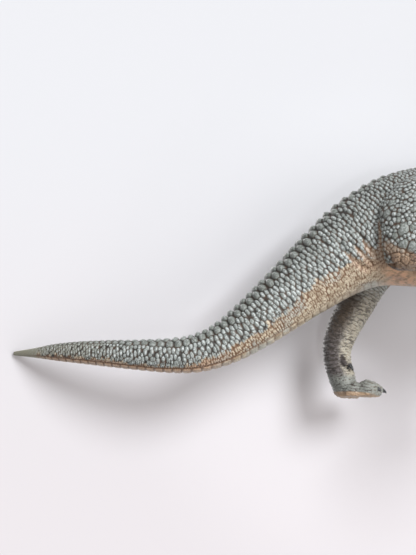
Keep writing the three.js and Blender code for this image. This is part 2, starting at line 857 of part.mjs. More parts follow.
function buildJaw() {
  const lip = jawLipShare * jawDepth;
  const jawStations = jawShares.map(([along, depth, breadth]) => {
    const half = breadth * jawHalf(along);
    return headStation(along, -jawTopGap - lip, jawPitch, half, lip, depth * jawDepth);
  });
  const troughStations = troughShares.map((share) =>
    headStation(share, -jawTopGap, jawPitch, jawHalf(share) - lipWall, jawTrough),
  );
  return joined([
    limb(jawStations, limbSteps, limbSides, skullCorner),
    hingeBar(knuckleHalfWidth, knuckleRadius),
  ]).subtract(
    joined([
      limb(troughStations, limbSteps, limbSides, boxyCorner),
      hingeBar(headBreadth, pinRadius + pinClearance, pinSides),
    ]),
  );
}

// Rows of teeth, between two shares of headLength. The upper row hangs and the lower stands.
const gumInset = lipWall + gumGap;
const upperRow = {
  halfAt: skullHalf,
  fromShare: 0.3,
  toShare: 0.89,
  low: mouthRoof - gumSeatGap - gumHeight,
  pitch: headPitch,
  way: -1,
  length: upperToothLength,
  width: upperToothWidth,
};
const lowerRow = {
  halfAt: jawHalf,
  fromShare: 0.3,
  toShare: 0.81,
  low: gumSeatGap - jawTopGap - jawTrough,
  pitch: jawPitch,
  way: 1,
  length: lowerToothLength,
  width: lowerToothWidth,
};
const bandSteps = 6;
const rowStepShare = 0.01;
// Tooth stations: along and backward lean as shares of its length, thickness of its width.
const toothShares = [
  [0, 0, 1],
  [0.5, 0.04, 0.78],
  [1, 0.3, 0.12],
];
const toothSides = 5;
const toothFlatShare = 0.55;
const toothSizeShares = [0.62, 1, 0.82, 1.12, 0.9, 1.08, 0.8, 0.95, 0.74, 0.62];

// Where a row stops: its own end, or earlier where the jaw gets too narrow for its two gums.
function rowEnd({ halfAt, toShare }) {
  let end = toShare;
  while (halfAt(end) - gumInset < gumWidth) end -= rowStepShare;
  return end;
}

// The gum strip that joins the teeth of one jaw, round both sides and the front.
function gumBand(row) {
  const end = rowEnd(row);
  const outer = [];
  const inner = [];
  for (let i = 0; i <= bandSteps; i++) {
    const share = row.fromShare + ((end - row.fromShare) * i) / bandSteps;
    const half = row.halfAt(share) - gumInset;
    const back = i === bandSteps ? gumWidth : 0;
    outer.push(new THREE.Vector2(share * headLength, half));
    inner.push(new THREE.Vector2(share * headLength - back, half - gumWidth));
  }
  const mirrored = (points) => points.map((p) => new THREE.Vector2(p.x, -p.y));
  const outline = new THREE.Shape([
    ...outer,
    ...mirrored(outer).reverse(),
    ...mirrored(inner),
    ...inner.slice().reverse(),
  ]);
  const band = new THREE.ExtrudeGeometry(outline, { depth: gumHeight, bevelEnabled: false });
  band.translate(0, 0, row.low + toothLine).rotateY(row.pitch * degree);
  return solid(band.translate(hinge.x, hinge.y, hinge.z));
}

function tooth(row, forward, left, size) {
  const rings = toothShares.map(([along, lean, thick]) => {
    const radius = (thick * size * row.width) / 2;
    const x = forward - lean * size * row.length;
    const up = row.low + gumHeight / 2 + row.way * along * size * row.length;
    return Array.from({ length: toothSides }, (_, i) => {
      const angle = (row.way * i * 2 * Math.PI) / toothSides;
      const across = Math.sin(angle) * radius * toothFlatShare;
      return headPoint(x + Math.cos(angle) * radius, left + across, up, row.pitch);
    });
  });
  return solid(loft(rings));
}

function buildTeeth(row) {
  const end = rowEnd(row);
  const teeth = [];
  for (let i = 0; i < teethPerSide; i++) {
    const share = row.fromShare + ((end - row.fromShare) * (i + 1 / 2)) / teethPerSide;
    const size = toothSizeShares[i % toothSizeShares.length];
    const left = row.halfAt(share) - gumInset - gumWidth / 2;
    for (const side of sides) teeth.push(tooth(row, share * headLength, side * left, size));
  }
  return joined([gumBand(row), ...teeth]);
}

// Tongue stations: along as a share of its length, then its breadth and thickness.
const tongueShares = [
  [0, 0.5, 0.7],
  [0.2, 0.9, 1],
  [0.55, 1, 1],
  [0.82, 0.8, 0.8],
  [1, 0.3, 0.4],
];
const tongueBackShare = 0.27; // of headLength

function buildTongue() {
  const rise = glueGap + tongueThickness / 2 - jawTopGap - jawTrough;
  const stations = tongueShares.map(([along, breadth, thick]) => {
    const share = tongueBackShare + (along * tongueLength) / headLength;
    const room = 2 * (jawHalf(share) - gumInset - gumWidth - glueGap);
    const half = (breadth * Math.min(tongueBreadth, room)) / 2;
    return headStation(share, rise, jawPitch, half, (thick * tongueThickness) / 2);
  });
  return limb(stations, limbSteps, toeSides);
}

const hide = new THREE.MeshStandardMaterial({ color: 0x7c8279, roughness: 0.45 });
const jawHide = new THREE.MeshStandardMaterial({ color: 0x938a72, roughness: 0.45 });
const ivory = new THREE.MeshStandardMaterial({ color: 0xd9cfae, roughness: 0.35 });
const tongueRed = new THREE.MeshStandardMaterial({ color: 0xa0585a, roughness: 0.3 });
const eyeAmber = new THREE.MeshStandardMaterial({ color: 0xb5821f, roughness: 0.1 });
const pinSteel = new THREE.MeshStandardMaterial({
  color: 0xb9bcc0,
  roughness: 0.3,
  metalness: 1,
});

function named(name, piece, material) {
  const { vertProperties, triVerts, numProp } = piece.getMesh();
  const geometry = new THREE.BufferGeometry();
  geometry.setAttribute("position", new THREE.BufferAttribute(vertProperties, numProp));
  geometry.setIndex(new THREE.BufferAttribute(triVerts, 1));
  geometry.computeVertexNormals();
  const mesh = new THREE.Mesh(geometry, material);
  mesh.name = name;
  return mesh;
}

const trunk = buildTrunk();
const figure = new THREE.Group();
figure.add(
  named("trunk_left_shell", trunk.left, hide),
  named("trunk_right_shell", trunk.right, hide),
  named("tail", buildTail(), hide),
  named("left_leg", buildLeg(1, leftLegShares), hide),
  named("right_leg", buildLeg(-1, rightLegShares), hide),
  named("left_arm", buildArm(1), hide),
  named("right_arm", buildArm(-1), hide),
  named("head", buildHead(), hide),
  named("upper_teeth", buildTeeth(upperRow), ivory),
  named("left_eye", ball(headPlace(eyeShares, 1), eyeRadius), eyeAmber),
  named("right_eye", ball(headPlace(eyeShares, -1), eyeRadius), eyeAmber),
  named("jaw_pin", hingeBar(headBreadth / 2 - pinRecess, pinRadius, pinSides), pinSteel),
  named("lower_jaw", buildJaw(), jawHide),
  named("lower_teeth", buildTeeth(lowerRow), ivory),
  named("tongue", buildTongue(), tongueRed),
);

// Stand the figure on the origin: its soles at height zero, and centred over its own outline.
const bounds = new THREE.Box3().setFromObject(figure);
const centre = bounds.getCenter(vector(0, 0, 0));
figure.position.set(-centre.x, -centre.y, -bounds.min.z);

export default figure;
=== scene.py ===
import itertools
import math

import bmesh
import bpy
import numpy as np
from mathutils import Matrix, Vector
from mathutils.kdtree import KDTree


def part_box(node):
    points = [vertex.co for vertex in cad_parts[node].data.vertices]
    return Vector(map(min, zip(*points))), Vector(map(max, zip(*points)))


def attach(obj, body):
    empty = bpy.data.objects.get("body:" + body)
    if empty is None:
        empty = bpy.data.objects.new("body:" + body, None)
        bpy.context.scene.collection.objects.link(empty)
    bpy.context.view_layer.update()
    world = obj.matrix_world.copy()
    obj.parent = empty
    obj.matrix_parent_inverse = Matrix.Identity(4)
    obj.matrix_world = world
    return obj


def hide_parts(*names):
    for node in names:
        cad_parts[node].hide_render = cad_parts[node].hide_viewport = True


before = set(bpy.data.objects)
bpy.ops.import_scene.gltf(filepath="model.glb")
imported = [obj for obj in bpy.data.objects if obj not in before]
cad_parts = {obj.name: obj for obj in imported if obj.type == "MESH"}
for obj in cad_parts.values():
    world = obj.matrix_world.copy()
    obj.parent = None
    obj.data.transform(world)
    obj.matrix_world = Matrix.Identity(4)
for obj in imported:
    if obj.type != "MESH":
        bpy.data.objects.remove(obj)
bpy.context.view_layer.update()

mm = 0.001
rng = np.random.default_rng(7)
legSides = ("left", "right")

# body form, in millimetres, from the tail tip to the back of the head
bodyForm = {
    "hipHeight": 60, "depth": 46, "breadth": 39.6, "tailReach": 154, "neckReach": 82,
    "sway": 24, "shift": 9.834, "corner": 0.93,
    "steps": 300, "sides": 120,
    "shares": [  # ahead of the hips, height, depth, breadth, sway
        (-0.997, 0.277, 0.035, 0.04, 1), (-0.942, 0.272, 0.08, 0.085, 0.79),
        (-0.883, 0.267, 0.136, 0.136, 0.59), (-0.818, 0.257, 0.175, 0.177, 0.41),
        (-0.75, 0.243, 0.205, 0.207, 0.26), (-0.682, 0.23, 0.228, 0.237, 0.15),
        (-0.614, 0.222, 0.254, 0.268, 0.07), (-0.552, 0.232, 0.28, 0.303, 0.025),
        (-0.492, 0.283, 0.315, 0.343, 0), (-0.429, 0.382, 0.375, 0.4, 0),
        (-0.36, 0.52, 0.448, 0.47, 0), (-0.289, 0.667, 0.53, 0.55, 0),
        (-0.221, 0.803, 0.63, 0.636, 0), (-0.156, 0.905, 0.75, 0.727, 0),
        (-0.09, 0.967, 0.875, 0.818, 0), (-0.023, 0.997, 0.94, 0.879, 0),
        (0.09, 1.008, 0.966, 0.919, 0), (0.244, 0.992, 1, 0.975, 0),
        (0.4, 0.977, 1, 1, 0), (0.54, 0.985, 0.952, 0.955, 0),
        (0.66, 1.035, 0.878, 0.855, 0), (0.76, 1.13, 0.778, 0.73, 0),
        (0.84, 1.27, 0.677, 0.626, 0), (0.9, 1.425, 0.6, 0.55, 0),
        (0.95, 1.57, 0.544, 0.505, 0), (1, 1.69, 0.49, 0.475, 0),
        (1.06, 1.77, 0.4, 0.42, 0),
    ],
    "tailSeam": 0.506, "neckSeam": 0.923,  # of the way along
}

# legs: ahead of the hips by stride, height by hipHeight, out by stance, depth, breadth
legForm = {
    "stride": 40, "hipHeight": 60, "stance": 20, "depth": 40, "breadth": 24,
    "steps": 60, "sides": 60,
    "left": {
        "haunch": [
            (-0.06, 1.27, 0.36, 0.17, 0.22), (-0.07, 1.22, 0.45, 0.48, 0.42),
            (-0.08, 1.12, 0.58, 0.74, 0.74), (-0.09, 1, 0.65, 0.8, 0.94),
            (-0.1, 0.88, 0.68, 0.66, 0.88), (-0.12, 0.78, 0.7, 0.44, 0.66),
            (-0.13, 0.71, 0.7, 0.2, 0.3),
        ],
        "thigh": [
            (-0.1, 1.06, 0.62, 0.4, 0.6), (-0.14, 1, 0.66, 0.66, 0.84),
            (-0.22, 0.91, 0.72, 0.62, 0.88), (-0.3, 0.84, 0.79, 0.5, 0.78),
            (-0.36, 0.79, 0.83, 0.38, 0.62), (-0.39, 0.765, 0.85, 0.2, 0.35),
        ],
        "shank": [
            (-0.3, 0.93, 0.82, 0.25, 0.42), (-0.375, 0.86, 0.85, 0.41, 0.67),
            (-0.46, 0.78, 0.87, 0.395, 0.63), (-0.54, 0.69, 0.89, 0.36, 0.58),
            (-0.62, 0.59, 0.91, 0.335, 0.54), (-0.69, 0.5, 0.93, 0.31, 0.5),
            (-0.765, 0.403, 0.95, 0.285, 0.46), (-0.81, 0.315, 0.97, 0.265, 0.43),
            (-0.81, 0.223, 0.99, 0.245, 0.4), (-0.78, 0.143, 1, 0.24, 0.43),
            (-0.757, 0.083, 1, 0.225, 0.5), (-0.745, 0.03, 1, 0.15, 0.42),
        ],
    },
    "right": {
        "haunch": [
            (-0.05, 1.28, 0.36, 0.17, 0.22), (-0.05, 1.23, 0.45, 0.5, 0.42),
            (-0.05, 1.13, 0.58, 0.82, 0.74), (-0.05, 1, 0.65, 1, 0.96),
            (-0.05, 0.9, 0.68, 1, 0.94), (-0.05, 0.82, 0.7, 0.96, 0.84),
            (-0.05, 0.775, 0.7, 0.84, 0.66), (-0.04, 0.745, 0.7, 0.6, 0.42),
            (-0.03, 0.725, 0.7, 0.22, 0.16),
        ],
        "thigh": [
            (-0.12, 1.08, 0.6, 0.46, 0.6), (0.06, 1, 0.65, 0.76, 0.9),
            (0.27, 0.9, 0.7, 0.82, 0.94), (0.47, 0.805, 0.77, 0.73, 0.85),
            (0.64, 0.73, 0.83, 0.53, 0.71), (0.76, 0.68, 0.85, 0.36, 0.52),
            (0.82, 0.655, 0.85, 0.15, 0.22),
        ],
        "shank": [
            (0.77, 0.82, 0.83, 0.2, 0.34), (0.79, 0.77, 0.85, 0.4, 0.64),
            (0.79, 0.69, 0.87, 0.44, 0.67), (0.75, 0.58, 0.89, 0.415, 0.62),
            (0.69, 0.48, 0.915, 0.355, 0.54), (0.63, 0.39, 0.94, 0.305, 0.475),
            (0.6, 0.305, 0.965, 0.275, 0.44), (0.61, 0.225, 0.985, 0.25, 0.4),
            (0.66, 0.147, 1, 0.24, 0.43), (0.71, 0.083, 1, 0.225, 0.5),
            (0.73, 0.03, 1, 0.15, 0.42),
        ],
    },
}


def unit(rows):
    return rows / np.maximum(np.linalg.norm(rows, axis=-1, keepdims=True), 1e-12)


def smoothStep(low, high, value):
    share = np.clip((value - low) / (high - low), 0, 1)
    return share * share * (3 - 2 * share)


def bell(gap, width):  # 1 in the middle, falling to both sides
    return np.exp(-(gap / width) ** 2)


def treeOf(places):
    tree = KDTree(len(places))
    for i, place in enumerate(places):
        tree.insert(place, i)
    tree.balance()
    return tree


# a rounded limb: rings across a smooth path through its stations, in millimetres
class Limb:
    def __init__(self, places, sizes, corner=1):
        self.places = np.array(places, float)
        self.sizes = np.array(sizes, float)  # half breadth, reach above, reach below
        self.corner = corner

    def along(self, table, share):
        last = len(table) - 1
        place = np.clip(np.atleast_1d(np.asarray(share, float)) * last, 0, last)
        at = np.minimum(place.astype(int), last - 1)
        mix = (place - at)[:, None]
        row = np.vstack([2 * table[0] - table[1], table, 2 * table[-1] - table[-2]])
        a, b, c, d = row[at], row[at + 1], row[at + 2], row[at + 3]
        bend = (2 * a - 5 * b + 4 * c - d) + mix * (3 * b - 3 * c + d - a)
        return b + 0.5 * mix * ((c - a) + mix * bend)

    def frameAt(self, share):
        share = np.atleast_1d(np.asarray(share, float))
        step = 1e-4
        low, high = np.clip(share - step, 0, 1), np.clip(share + step, 0, 1)
        tangent = unit(self.along(self.places, high) - self.along(self.places, low))
        left = np.array([0.0, 1.0, 0.0])
        side = unit(left - tangent * tangent[:, 1:2])
        return self.along(self.places, share), tangent, side, np.cross(tangent, side)

    def surface(self, share, angle):  # angle in degrees from the top, left positive
        at, tangent, side, top = self.frameAt(share)
        size = self.along(self.sizes, share)
        turn = np.radians(90 - np.atleast_1d(angle))
        c, s = np.cos(turn), np.sin(turn)
        reach = np.where(s > 0, size[:, 1], size[:, 2])
        out = (np.sign(c) * np.abs(c) ** self.corner * size[:, 0])[:, None] * side
        return at + out + (np.sign(s) * np.abs(s) ** self.corner * reach)[:, None] * top

    def mesh(self, steps, sides):
        share = np.repeat(np.linspace(0, 1, steps + 1), sides)
        angle = np.tile(90 - 360 * np.arange(sides) / sides, steps + 1)
        points = self.surface(share, angle)
        ring = np.arange(steps)[:, None] * sides
        i = np.arange(sides)
        j = (i + 1) % sides
        quads = np.stack([ring + i, ring + j, ring + j + sides, ring + i + sides], -1)
        faces = quads.reshape(-1, 4).tolist()
        last = steps * sides
        points = np.vstack([points, points[:sides].mean(0), points[last:].mean(0)])
        faces += [[len(points) - 2, int(b), int(a)] for a, b in zip(i, j)]
        faces += [[len(points) - 1, last + int(a), last + int(b)] for a, b in zip(i, j)]
        return points, faces


def bodyLimb():
    f = bodyForm
    places = [
        (x * (f["tailReach"] if x < 0 else f["neckReach"]) + f["shift"], sway * f["sway"],
         z * f["hipHeight"]) for x, z, _, _, sway in f["shares"]
    ]
    sizes = [(b * f["breadth"] / 2, d * f["depth"] / 2, d * f["depth"] / 2)
             for _, _, d, b, _ in f["shares"]]
    return Limb(places, sizes, f["corner"])


def legLimb(side, part):
    f = legForm
    way = 1 if side == "left" else -1
    places = [(x * f["stride"] + bodyForm["shift"], way * out * f["stance"], z * f["hipHeight"])
              for x, z, out, _, _ in f[side][part]]
    sizes = [(b * f["breadth"] / 2, d * f["depth"] / 2, d * f["depth"] / 2)
             for _, _, _, d, b in f[side][part]]
    return Limb(places, sizes)


def addObject(name, data):
    obj = bpy.data.objects.new(name, data)
    bpy.context.scene.collection.objects.link(obj)
    return obj


def meshObject(name, points, faces):
    mesh = bpy.data.meshes.new(name)
    mesh.from_pydata((np.asarray(points) * mm).tolist(), [], faces)
    mesh.validate()
    return addObject(name, mesh)


def onlySelect(obj):
    bpy.ops.object.select_all(action="DESELECT")
    obj.hide_set(False)
    obj.select_set(True)
    bpy.context.view_layer.objects.active = obj


def applyModifier(obj, kind, **settings):
    onlySelect(obj)
    modifier = obj.modifiers.new(kind, kind)
    for key, value in settings.items():
        setattr(modifier, key, value)
    bpy.ops.object.modifier_apply(modifier=modifier.name)


def joinObjects(parts, name):
    bpy.ops.object.select_all(action="DESELECT")
    for part in parts:
        part.select_set(True)
    bpy.context.view_layer.objects.active = parts[0]
    bpy.ops.object.join()
    parts[0].name = parts[0].data.name = name
    return parts[0]


# a merged copy of a CAD node's mesh, to be reshaped
def copyOfNode(node, name):
    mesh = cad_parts[node].data.copy()
    mesh.materials.clear()
    work = bmesh.new()
    work.from_mesh(mesh)
    bmesh.ops.remove_doubles(work, verts=work.verts, dist=1e-6)
    work.to_mesh(mesh)
    work.free()
    return addObject(name, mesh)


def readVectors(mesh, key):
    values = np.empty(len(mesh.vertices) * 3, np.float32)
    mesh.vertices.foreach_get(key, values)
    return values.reshape(-1, 3).astype(float)


def readInts(items, key, width=1):
    values = np.empty(len(items) * width, np.int32)
    items.foreach_get(key, values)
    return values


def readPoints(mesh):
    return readVectors(mesh, "co") / mm


def writePoints(mesh, points):
    mesh.vertices.foreach_set("co", (points * mm).astype(np.float32).ravel())
    mesh.update()


def readNormals(mesh):
    return unit(readVectors(mesh, "normal"))


def edgePairs(mesh):
    return readInts(mesh.edges, "vertices", 2).reshape(-1, 2)


# averages values over each vertex's neighbours, some rounds
def spread(values, pairs, count, rounds):
    ends = np.concatenate([pairs[:, 0], pairs[:, 1]])
    others = np.concatenate([pairs[:, 1], pairs[:, 0]])
    degree = np.maximum(np.bincount(ends, minlength=count), 1)[:, None]
    flat = values.reshape(count, -1)
    for _ in range(rounds):
        totals = [np.bincount(ends, flat[others, k], count) for k in range(flat.shape[1])]
        flat = np.stack(totals, 1) / degree
    return flat.reshape(values.shape)


# smoothing in and out by turns, which evens a surface without shrinking it
def relax(points, pairs, rounds, weight=0.5, back=-0.52, mask=None):
    for _ in range(rounds):
        for step in (weight, back):
            move = step * (spread(points, pairs, len(points), 1) - points)
            points = points + (move if mask is None else move * mask[:, None])
    return points


# one skin over body, legs and head
skinForm = {
    "voxel": 0.33, "evening": 6, "cleftReach": 4, "cleftRounds": 40,
    "clefts": [  # the photograph's pixels, right and down
        [(378, 196), (378, 215), (379, 235), (382, 255)],
        [(384, 262), (394, 270), (404, 274), (413, 277)],
    ],
}

body = bodyLimb()
legs = {(side, part): legLimb(side, part)
        for side in legSides for part in ("haunch", "thigh", "shank")}
tailSeamAt, tailSeamAhead, _, _ = (row[0] for row in body.frameAt(bodyForm["tailSeam"]))
neckSeamAt, neckSeamAhead, _, _ = (row[0] for row in body.frameAt(bodyForm["neckSeam"]))
print("forms ready")


def buildSkin():
    f = skinForm
    bodyObject = meshObject("skin", *body.mesh(bodyForm["steps"], bodyForm["sides"]))
    parts = [bodyObject]
    for (side, part), limb in legs.items():
        parts.append(meshObject(side + part, *limb.mesh(legForm["steps"], legForm["sides"])))
    for node in ("left_leg", "right_leg", "head"):
        parts.append(copyOfNode(node, node + "Copy"))
    skin = joinObjects(parts, "skin")
    applyModifier(skin, "REMESH", mode="VOXEL", voxel_size=f["voxel"] * mm, adaptivity=0)
    keepLargest(skin)
    return skin


def keepLargest(obj):
    mesh = obj.data
    count = len(mesh.vertices)
    pairs = edgePairs(mesh)
    label = np.arange(count)
    while True:  # each vertex takes the lowest label of its neighbours
        low = label.copy()
        np.minimum.at(low, pairs[:, 0], label[pairs[:, 1]])
        np.minimum.at(low, pairs[:, 1], label[pairs[:, 0]])
        low = low[low]
        if (low == label).all():
            break
        label = low
    names, sizes = np.unique(label, return_counts=True)
    keep = label == names[sizes.argmax()]
    if keep.all():
        return
    work = bmesh.new()
    work.from_mesh(mesh)
    work.verts.ensure_lookup_table()
    gone = [v for v, kept in zip(work.verts, keep) if not kept]
    bmesh.ops.delete(work, geom=gone, context="VERTS")
    work.to_mesh(mesh)
    work.free()


skin = buildSkin()
print("skin", len(skin.data.vertices), "points")


placeForm = {"steps": 1200, "rounds": 4, "pace": 0.8, "slowest": 50, "thinnest": 0.3}


# where points lie on the body form: share of the way, angle from the top, reach outside
def bodyPlace(points):
    f = placeForm
    shares = np.linspace(0, 1, f["steps"] + 1)
    tree = treeOf(body.along(body.places, shares))
    share = shares[[tree.find(p)[1] for p in points]]
    for _ in range(f["rounds"]):  # slides each share along until its ring passes through the point
        at, tangent, side, top = body.frameAt(share)
        speed = np.linalg.norm(body.along(body.places, share + 1e-3) - at, axis=1) / 1e-3
        ahead = ((points - at) * tangent).sum(1)
        share = np.clip(share + f["pace"] * ahead / np.maximum(speed, f["slowest"]), 0, 1)
    at, tangent, side, top = body.frameAt(share)
    size = np.maximum(body.along(body.sizes, share), f["thinnest"])
    across = ((points - at) * side).sum(1) / size[:, 0]
    up = ((points - at) * top).sum(1) / size[:, 1]
    power = 1 / body.corner
    c = np.sign(across) * np.abs(across) ** power
    s = np.sign(up) * np.abs(up) ** power
    angle = np.degrees(np.arctan2(c, s))
    ratio = np.sqrt(c * c + s * s) ** body.corner
    reach = np.linalg.norm(points - at, axis=1) * (1 - 1 / np.maximum(ratio, 0.05))
    ends = (share <= 0) | (share >= 1)
    return share, angle, np.where(ends, 0, reach)


# shares of the way along a limb, the lengths there and the places along x
def pathTable(limb, steps):
    shares = np.linspace(0, 1, steps + 1)
    path = limb.along(limb.places, shares)
    gaps = np.linalg.norm(np.diff(path, axis=0), axis=1)
    return shares, np.concatenate([[0], gaps.cumsum()]), path[:, 0]


shareTable, lengthTable, xTable = pathTable(body, 2000)
lastRow = lengthTable[-1] - 0.5  # no row of scales starts beyond it
halfRound = np.arange(181.0)  # degrees from the back to the belly

# scales on the body: sizes in millimetres at places along x
scaleForm = {
    "x": [-144, -126, -108, -92, -75, -60, -30, -10, 5, 30, 60, 100],
    "dorsalPitch": [1.4, 1.9, 2.4, 3.1, 3.25, 3.25, 3.25, 3.1, 2.6, 2.6, 2.7, 2.4],
    "dorsalAcross": [0.9, 1.3, 2, 2.9, 3.7, 4.4, 5.2, 4.3, 3.3, 3.1, 3.2, 2.4],
    "dorsalHigh": [0.04, 0.24, 0.48, 0.85, 1.3, 1.7, 1.75, 1.45, 0.8, 0.7, 0.75, 0.55],
    "along": [0.75, 0.95, 1.2, 1.4, 1.5, 1.5, 1.4, 1.15, 1.05, 1.2, 1.3, 1.2],
    "across": [0.9, 1.4, 2.1, 2.4, 2.6, 2.8, 2.6, 1.9, 1.7, 2, 2.2, 1.8],
    "high": [0.03, 0.3, 0.5, 0.62, 0.66, 0.7, 0.62, 0.46, 0.4, 0.42, 0.44, 0.38],
    "angles": [0, 30, 75, 100, 120, 140, 180],
    "shrink": [1.1, 1.05, 0.9, 0.78, 0.62, 0.55, 0.5],
    "lean": 14, "jitter": 0.32,
    # where the sand-coloured underside begins: the photograph's pixels, right and down
    "sandPixels": [
        (20, 355), (40, 355), (60, 356.5), (80, 358), (100, 358.5), (115, 361.5), (130, 364),
        (145, 365), (160, 367), (180, 367), (195, 364), (205, 359), (218, 356), (247, 337),
        (258, 333), (268, 326), (278, 318), (285, 313), (292, 306), (300, 299), (306, 291),
        (313, 286), (320, 280), (330, 274), (340, 268), (347, 263), (356, 262),
    ],
    # and further forward a guess: millimetres along x, angle from the back
    "sandAhead": [(-9, 131), (0, 141), (10, 150), (50, 150), (100, 140)],
    "plateX": [-144, -125, -92, -60, -45, -30, -10, 20, 60, 100],
    "plateFrom": [128, 134, 146, 146, 148, 152, 156, 158, 154, 150],
    "plateHigh": [0.05, 0.15, 0.3, 0.34, 0.26, 0.12, 0.05, 0.1, 0.3, 0.3],
    "furrow": [0, 0.7, 1, 0.55, 0.2, 0, 0, 0, 0.3, 0.3],
    "platePitch": 3.1,
    "smoothX": [-140, -128],  # the bare end of the tail
}


def bySpan(key, x):
    return np.interp(x, scaleForm["x"], scaleForm[key])


# the beads along the back, as shares of their row's pitch, width and height
beadForm = {
    "starts": 1.5, "width": (0.9, 1.1), "slip": 0.05,
    "inner": {"out": 0.42, "long": 0.5, "wide": 0.58, "high": (0.9, 1.1), "kind": 1},
    "middle": {"out": 1.42, "long": 0.48, "wide": 0.44, "high": (0.6, 0.8), "kind": 1},
    "outer": {"out": (1.98, 2.18), "long": 0.26, "wide": 0.28, "high": (0.35, 0.5), "kind": 0},
}
# the leaning rows down the flanks
flankForm = {
    "starts": 0.8, "below": 2.34, "in": 0.25, "width": (0.7, 1.3), "high": (0.6, 1.2),
    "finerBelow": 0.7, "turn": 0.3,
}


# rows of scales as share along the body, angle, half sizes along and across, height, kind
def bodyRows():
    return np.array(beadRows() + flankRows())


def shareAt(length):
    return np.interp(length, lengthTable, shareTable)


def beadRows():
    f = beadForm
    rows, length = [], f["starts"]
    while length < lastRow:
        share = shareAt(length)
        x = np.interp(share, shareTable, xTable)
        pitch, across, high = (bySpan(key, x) for key in
                               ("dorsalPitch", "dorsalAcross", "dorsalHigh"))
        arcs = arcsAt(share)
        for way in (1, -1):
            wide = across * rng.uniform(*f["width"])
            slip = rng.normal(0, f["slip"])
            for ahead, part in ((slip, "inner"), (0.5, "middle"), (0, "outer"), (0.5, "outer")):
                bead = f[part]
                out = rng.uniform(*bead["out"]) if part == "outer" else bead["out"]
                rows.append((shareAt(length + ahead * pitch), way * angleAt(arcs, wide * out),
                             pitch * bead["long"], wide * bead["wide"],
                             high * rng.uniform(*bead["high"]), bead["kind"]))
        length += pitch
    return rows


def flankRows():
    f, g = scaleForm, flankForm
    rows, length, row = [], g["starts"], 0
    while length < lastRow:
        share = shareAt(length)
        x = np.interp(share, shareTable, xTable)
        along, widest = bySpan("along", x), bySpan("across", x)
        arcs = arcsAt(share)
        start = g["below"] * bySpan("dorsalAcross", x)
        for way in (1, -1):
            arc = start + (g["in"] + 0.5 * (row % 2)) * widest
            while arc < arcs[-1]:
                shrink = np.interp(angleAt(arcs, arc), f["angles"], f["shrink"])
                across = widest * shrink * rng.uniform(*g["width"])
                forward = (arc - start) * math.tan(math.radians(f["lean"]))
                pieces = 1 if shrink > g["finerBelow"] else 2
                for k in range(pieces):
                    slide = along * (k + rng.normal(0, f["jitter"] / 2)) / pieces
                    turn = rng.normal(0, f["jitter"]) * g["turn"] * across
                    high = bySpan("high", x) * shrink * rng.uniform(*g["high"])
                    rows.append((shareAt(length + forward + slide),
                                 way * angleAt(arcs, arc + turn), along / pieces / 2,
                                 across / 2, high, 0))
                arc += across
        length += along
        row += 1
    return rows


# arc lengths from the back round to the belly, for each degree
def arcsAt(share):
    ring = body.surface(np.full(len(halfRound), share), halfRound)
    return np.concatenate([[0], np.linalg.norm(np.diff(ring, axis=0), axis=1).cumsum()])


def angleAt(arcs, arc):
    return np.interp(arc, arcs, halfRound)


# middles of scales: place, way along, normal, half sizes, height, kind
def limbSeeds(limb, rows):
    share, angle, alongHalf, acrossHalf, high, kind = rows.T
    at = limb.surface(share, angle)
    ahead = limb.surface(np.minimum(share + 1e-3, 1), angle)
    behind = limb.surface(np.maximum(share - 1e-3, 0), angle)
    alongWay = unit(ahead - behind)
    acrossWay = unit(limb.surface(share, angle + 1) - limb.surface(share, angle - 1))
    normal = unit(np.cross(acrossWay, alongWay))
    outwards = at - limb.frameAt(share)[0]
    normal *= np.sign((normal * outwards).sum(1))[:, None]
    return np.column_stack([at, alongWay, normal, alongHalf, acrossHalf, high, kind])


# fine cross wrinkles round the shanks
wrinkleForm = {
    "pitch": 1, "across": 3, "fewest": 5, "jitter": 0.25, "turn": 0.12,
    "high": 0.5, "highs": (0.6, 1.2), "kind": 3,
}


def shankRows(limb):
    f = wrinkleForm
    shares, lengths, _ = pathTable(limb, 199)
    rows, length, row = [], f["pitch"] / 2, 0
    while length < lengths[-1]:
        size = limb.along(limb.sizes, np.interp(length, lengths, shares))[0]
        around = math.pi * (size[0] + size[1])
        count = max(f["fewest"], round(around / f["across"]))
        for i in range(count):
            angle = 360 * (i + 0.5 * (row % 2) + rng.normal(0, f["turn"])) / count
            at = np.interp(length + rng.normal(0, f["jitter"]) * f["pitch"], lengths, shares)
            rows.append((at, angle, f["pitch"] / 2, around / count / 2,
                         f["high"] * rng.uniform(*f["highs"]), f["kind"]))
        length += f["pitch"]
        row += 1
    return np.array(rows)


# picks points at least radius apart
def scatter(points, radius, order):
    taken, picked = {}, []
    keys = np.floor(points / radius).astype(int)
    for i in order:
        x, y, z = keys[i]
        p = points[i]
        cells = itertools.product((x - 1, x, x + 1), (y - 1, y, y + 1), (z - 1, z, z + 1))
        near = (points[j] for cell in cells for j in taken.get(cell, ()))
        if any((p[0] - q[0])**2 + (p[1] - q[1])**2 + (p[2] - q[2])**2 < radius**2 for q in near):
            continue
        taken.setdefault((x, y, z), []).append(i)
        picked.append(i)
    return np.array(picked)


# the photograph's camera: where it stands and what it sees, in millimetres
cameraForm = {
    "at": (-70.806, -413.62, -31.475), "elevation": -10,
    "lens": 75.68, "sensor": 36, "pixelsHigh": 555, "pixelsWide": 416, "focal": 1166.67,
    "pick": 0.9,  # pixels round a picked one
}


# the camera's ways ahead and up
def cameraWays():
    tilt = math.radians(cameraForm["elevation"])
    return (0, math.cos(tilt), -math.sin(tilt)), (0, math.sin(tilt), math.cos(tilt))


# where the photograph's camera sees points: right and down, in its pixels
def viewPlace(points):
    f = cameraForm
    ahead, up = cameraWays()
    ray = points - np.array(f["at"])
    depth = ray @ ahead
    return np.stack([f["pixelsWide"] / 2 + f["focal"] * ray[:, 0] / depth,
                     f["pixelsHigh"] / 2 - f["focal"] * (ray @ up) / depth], 1)


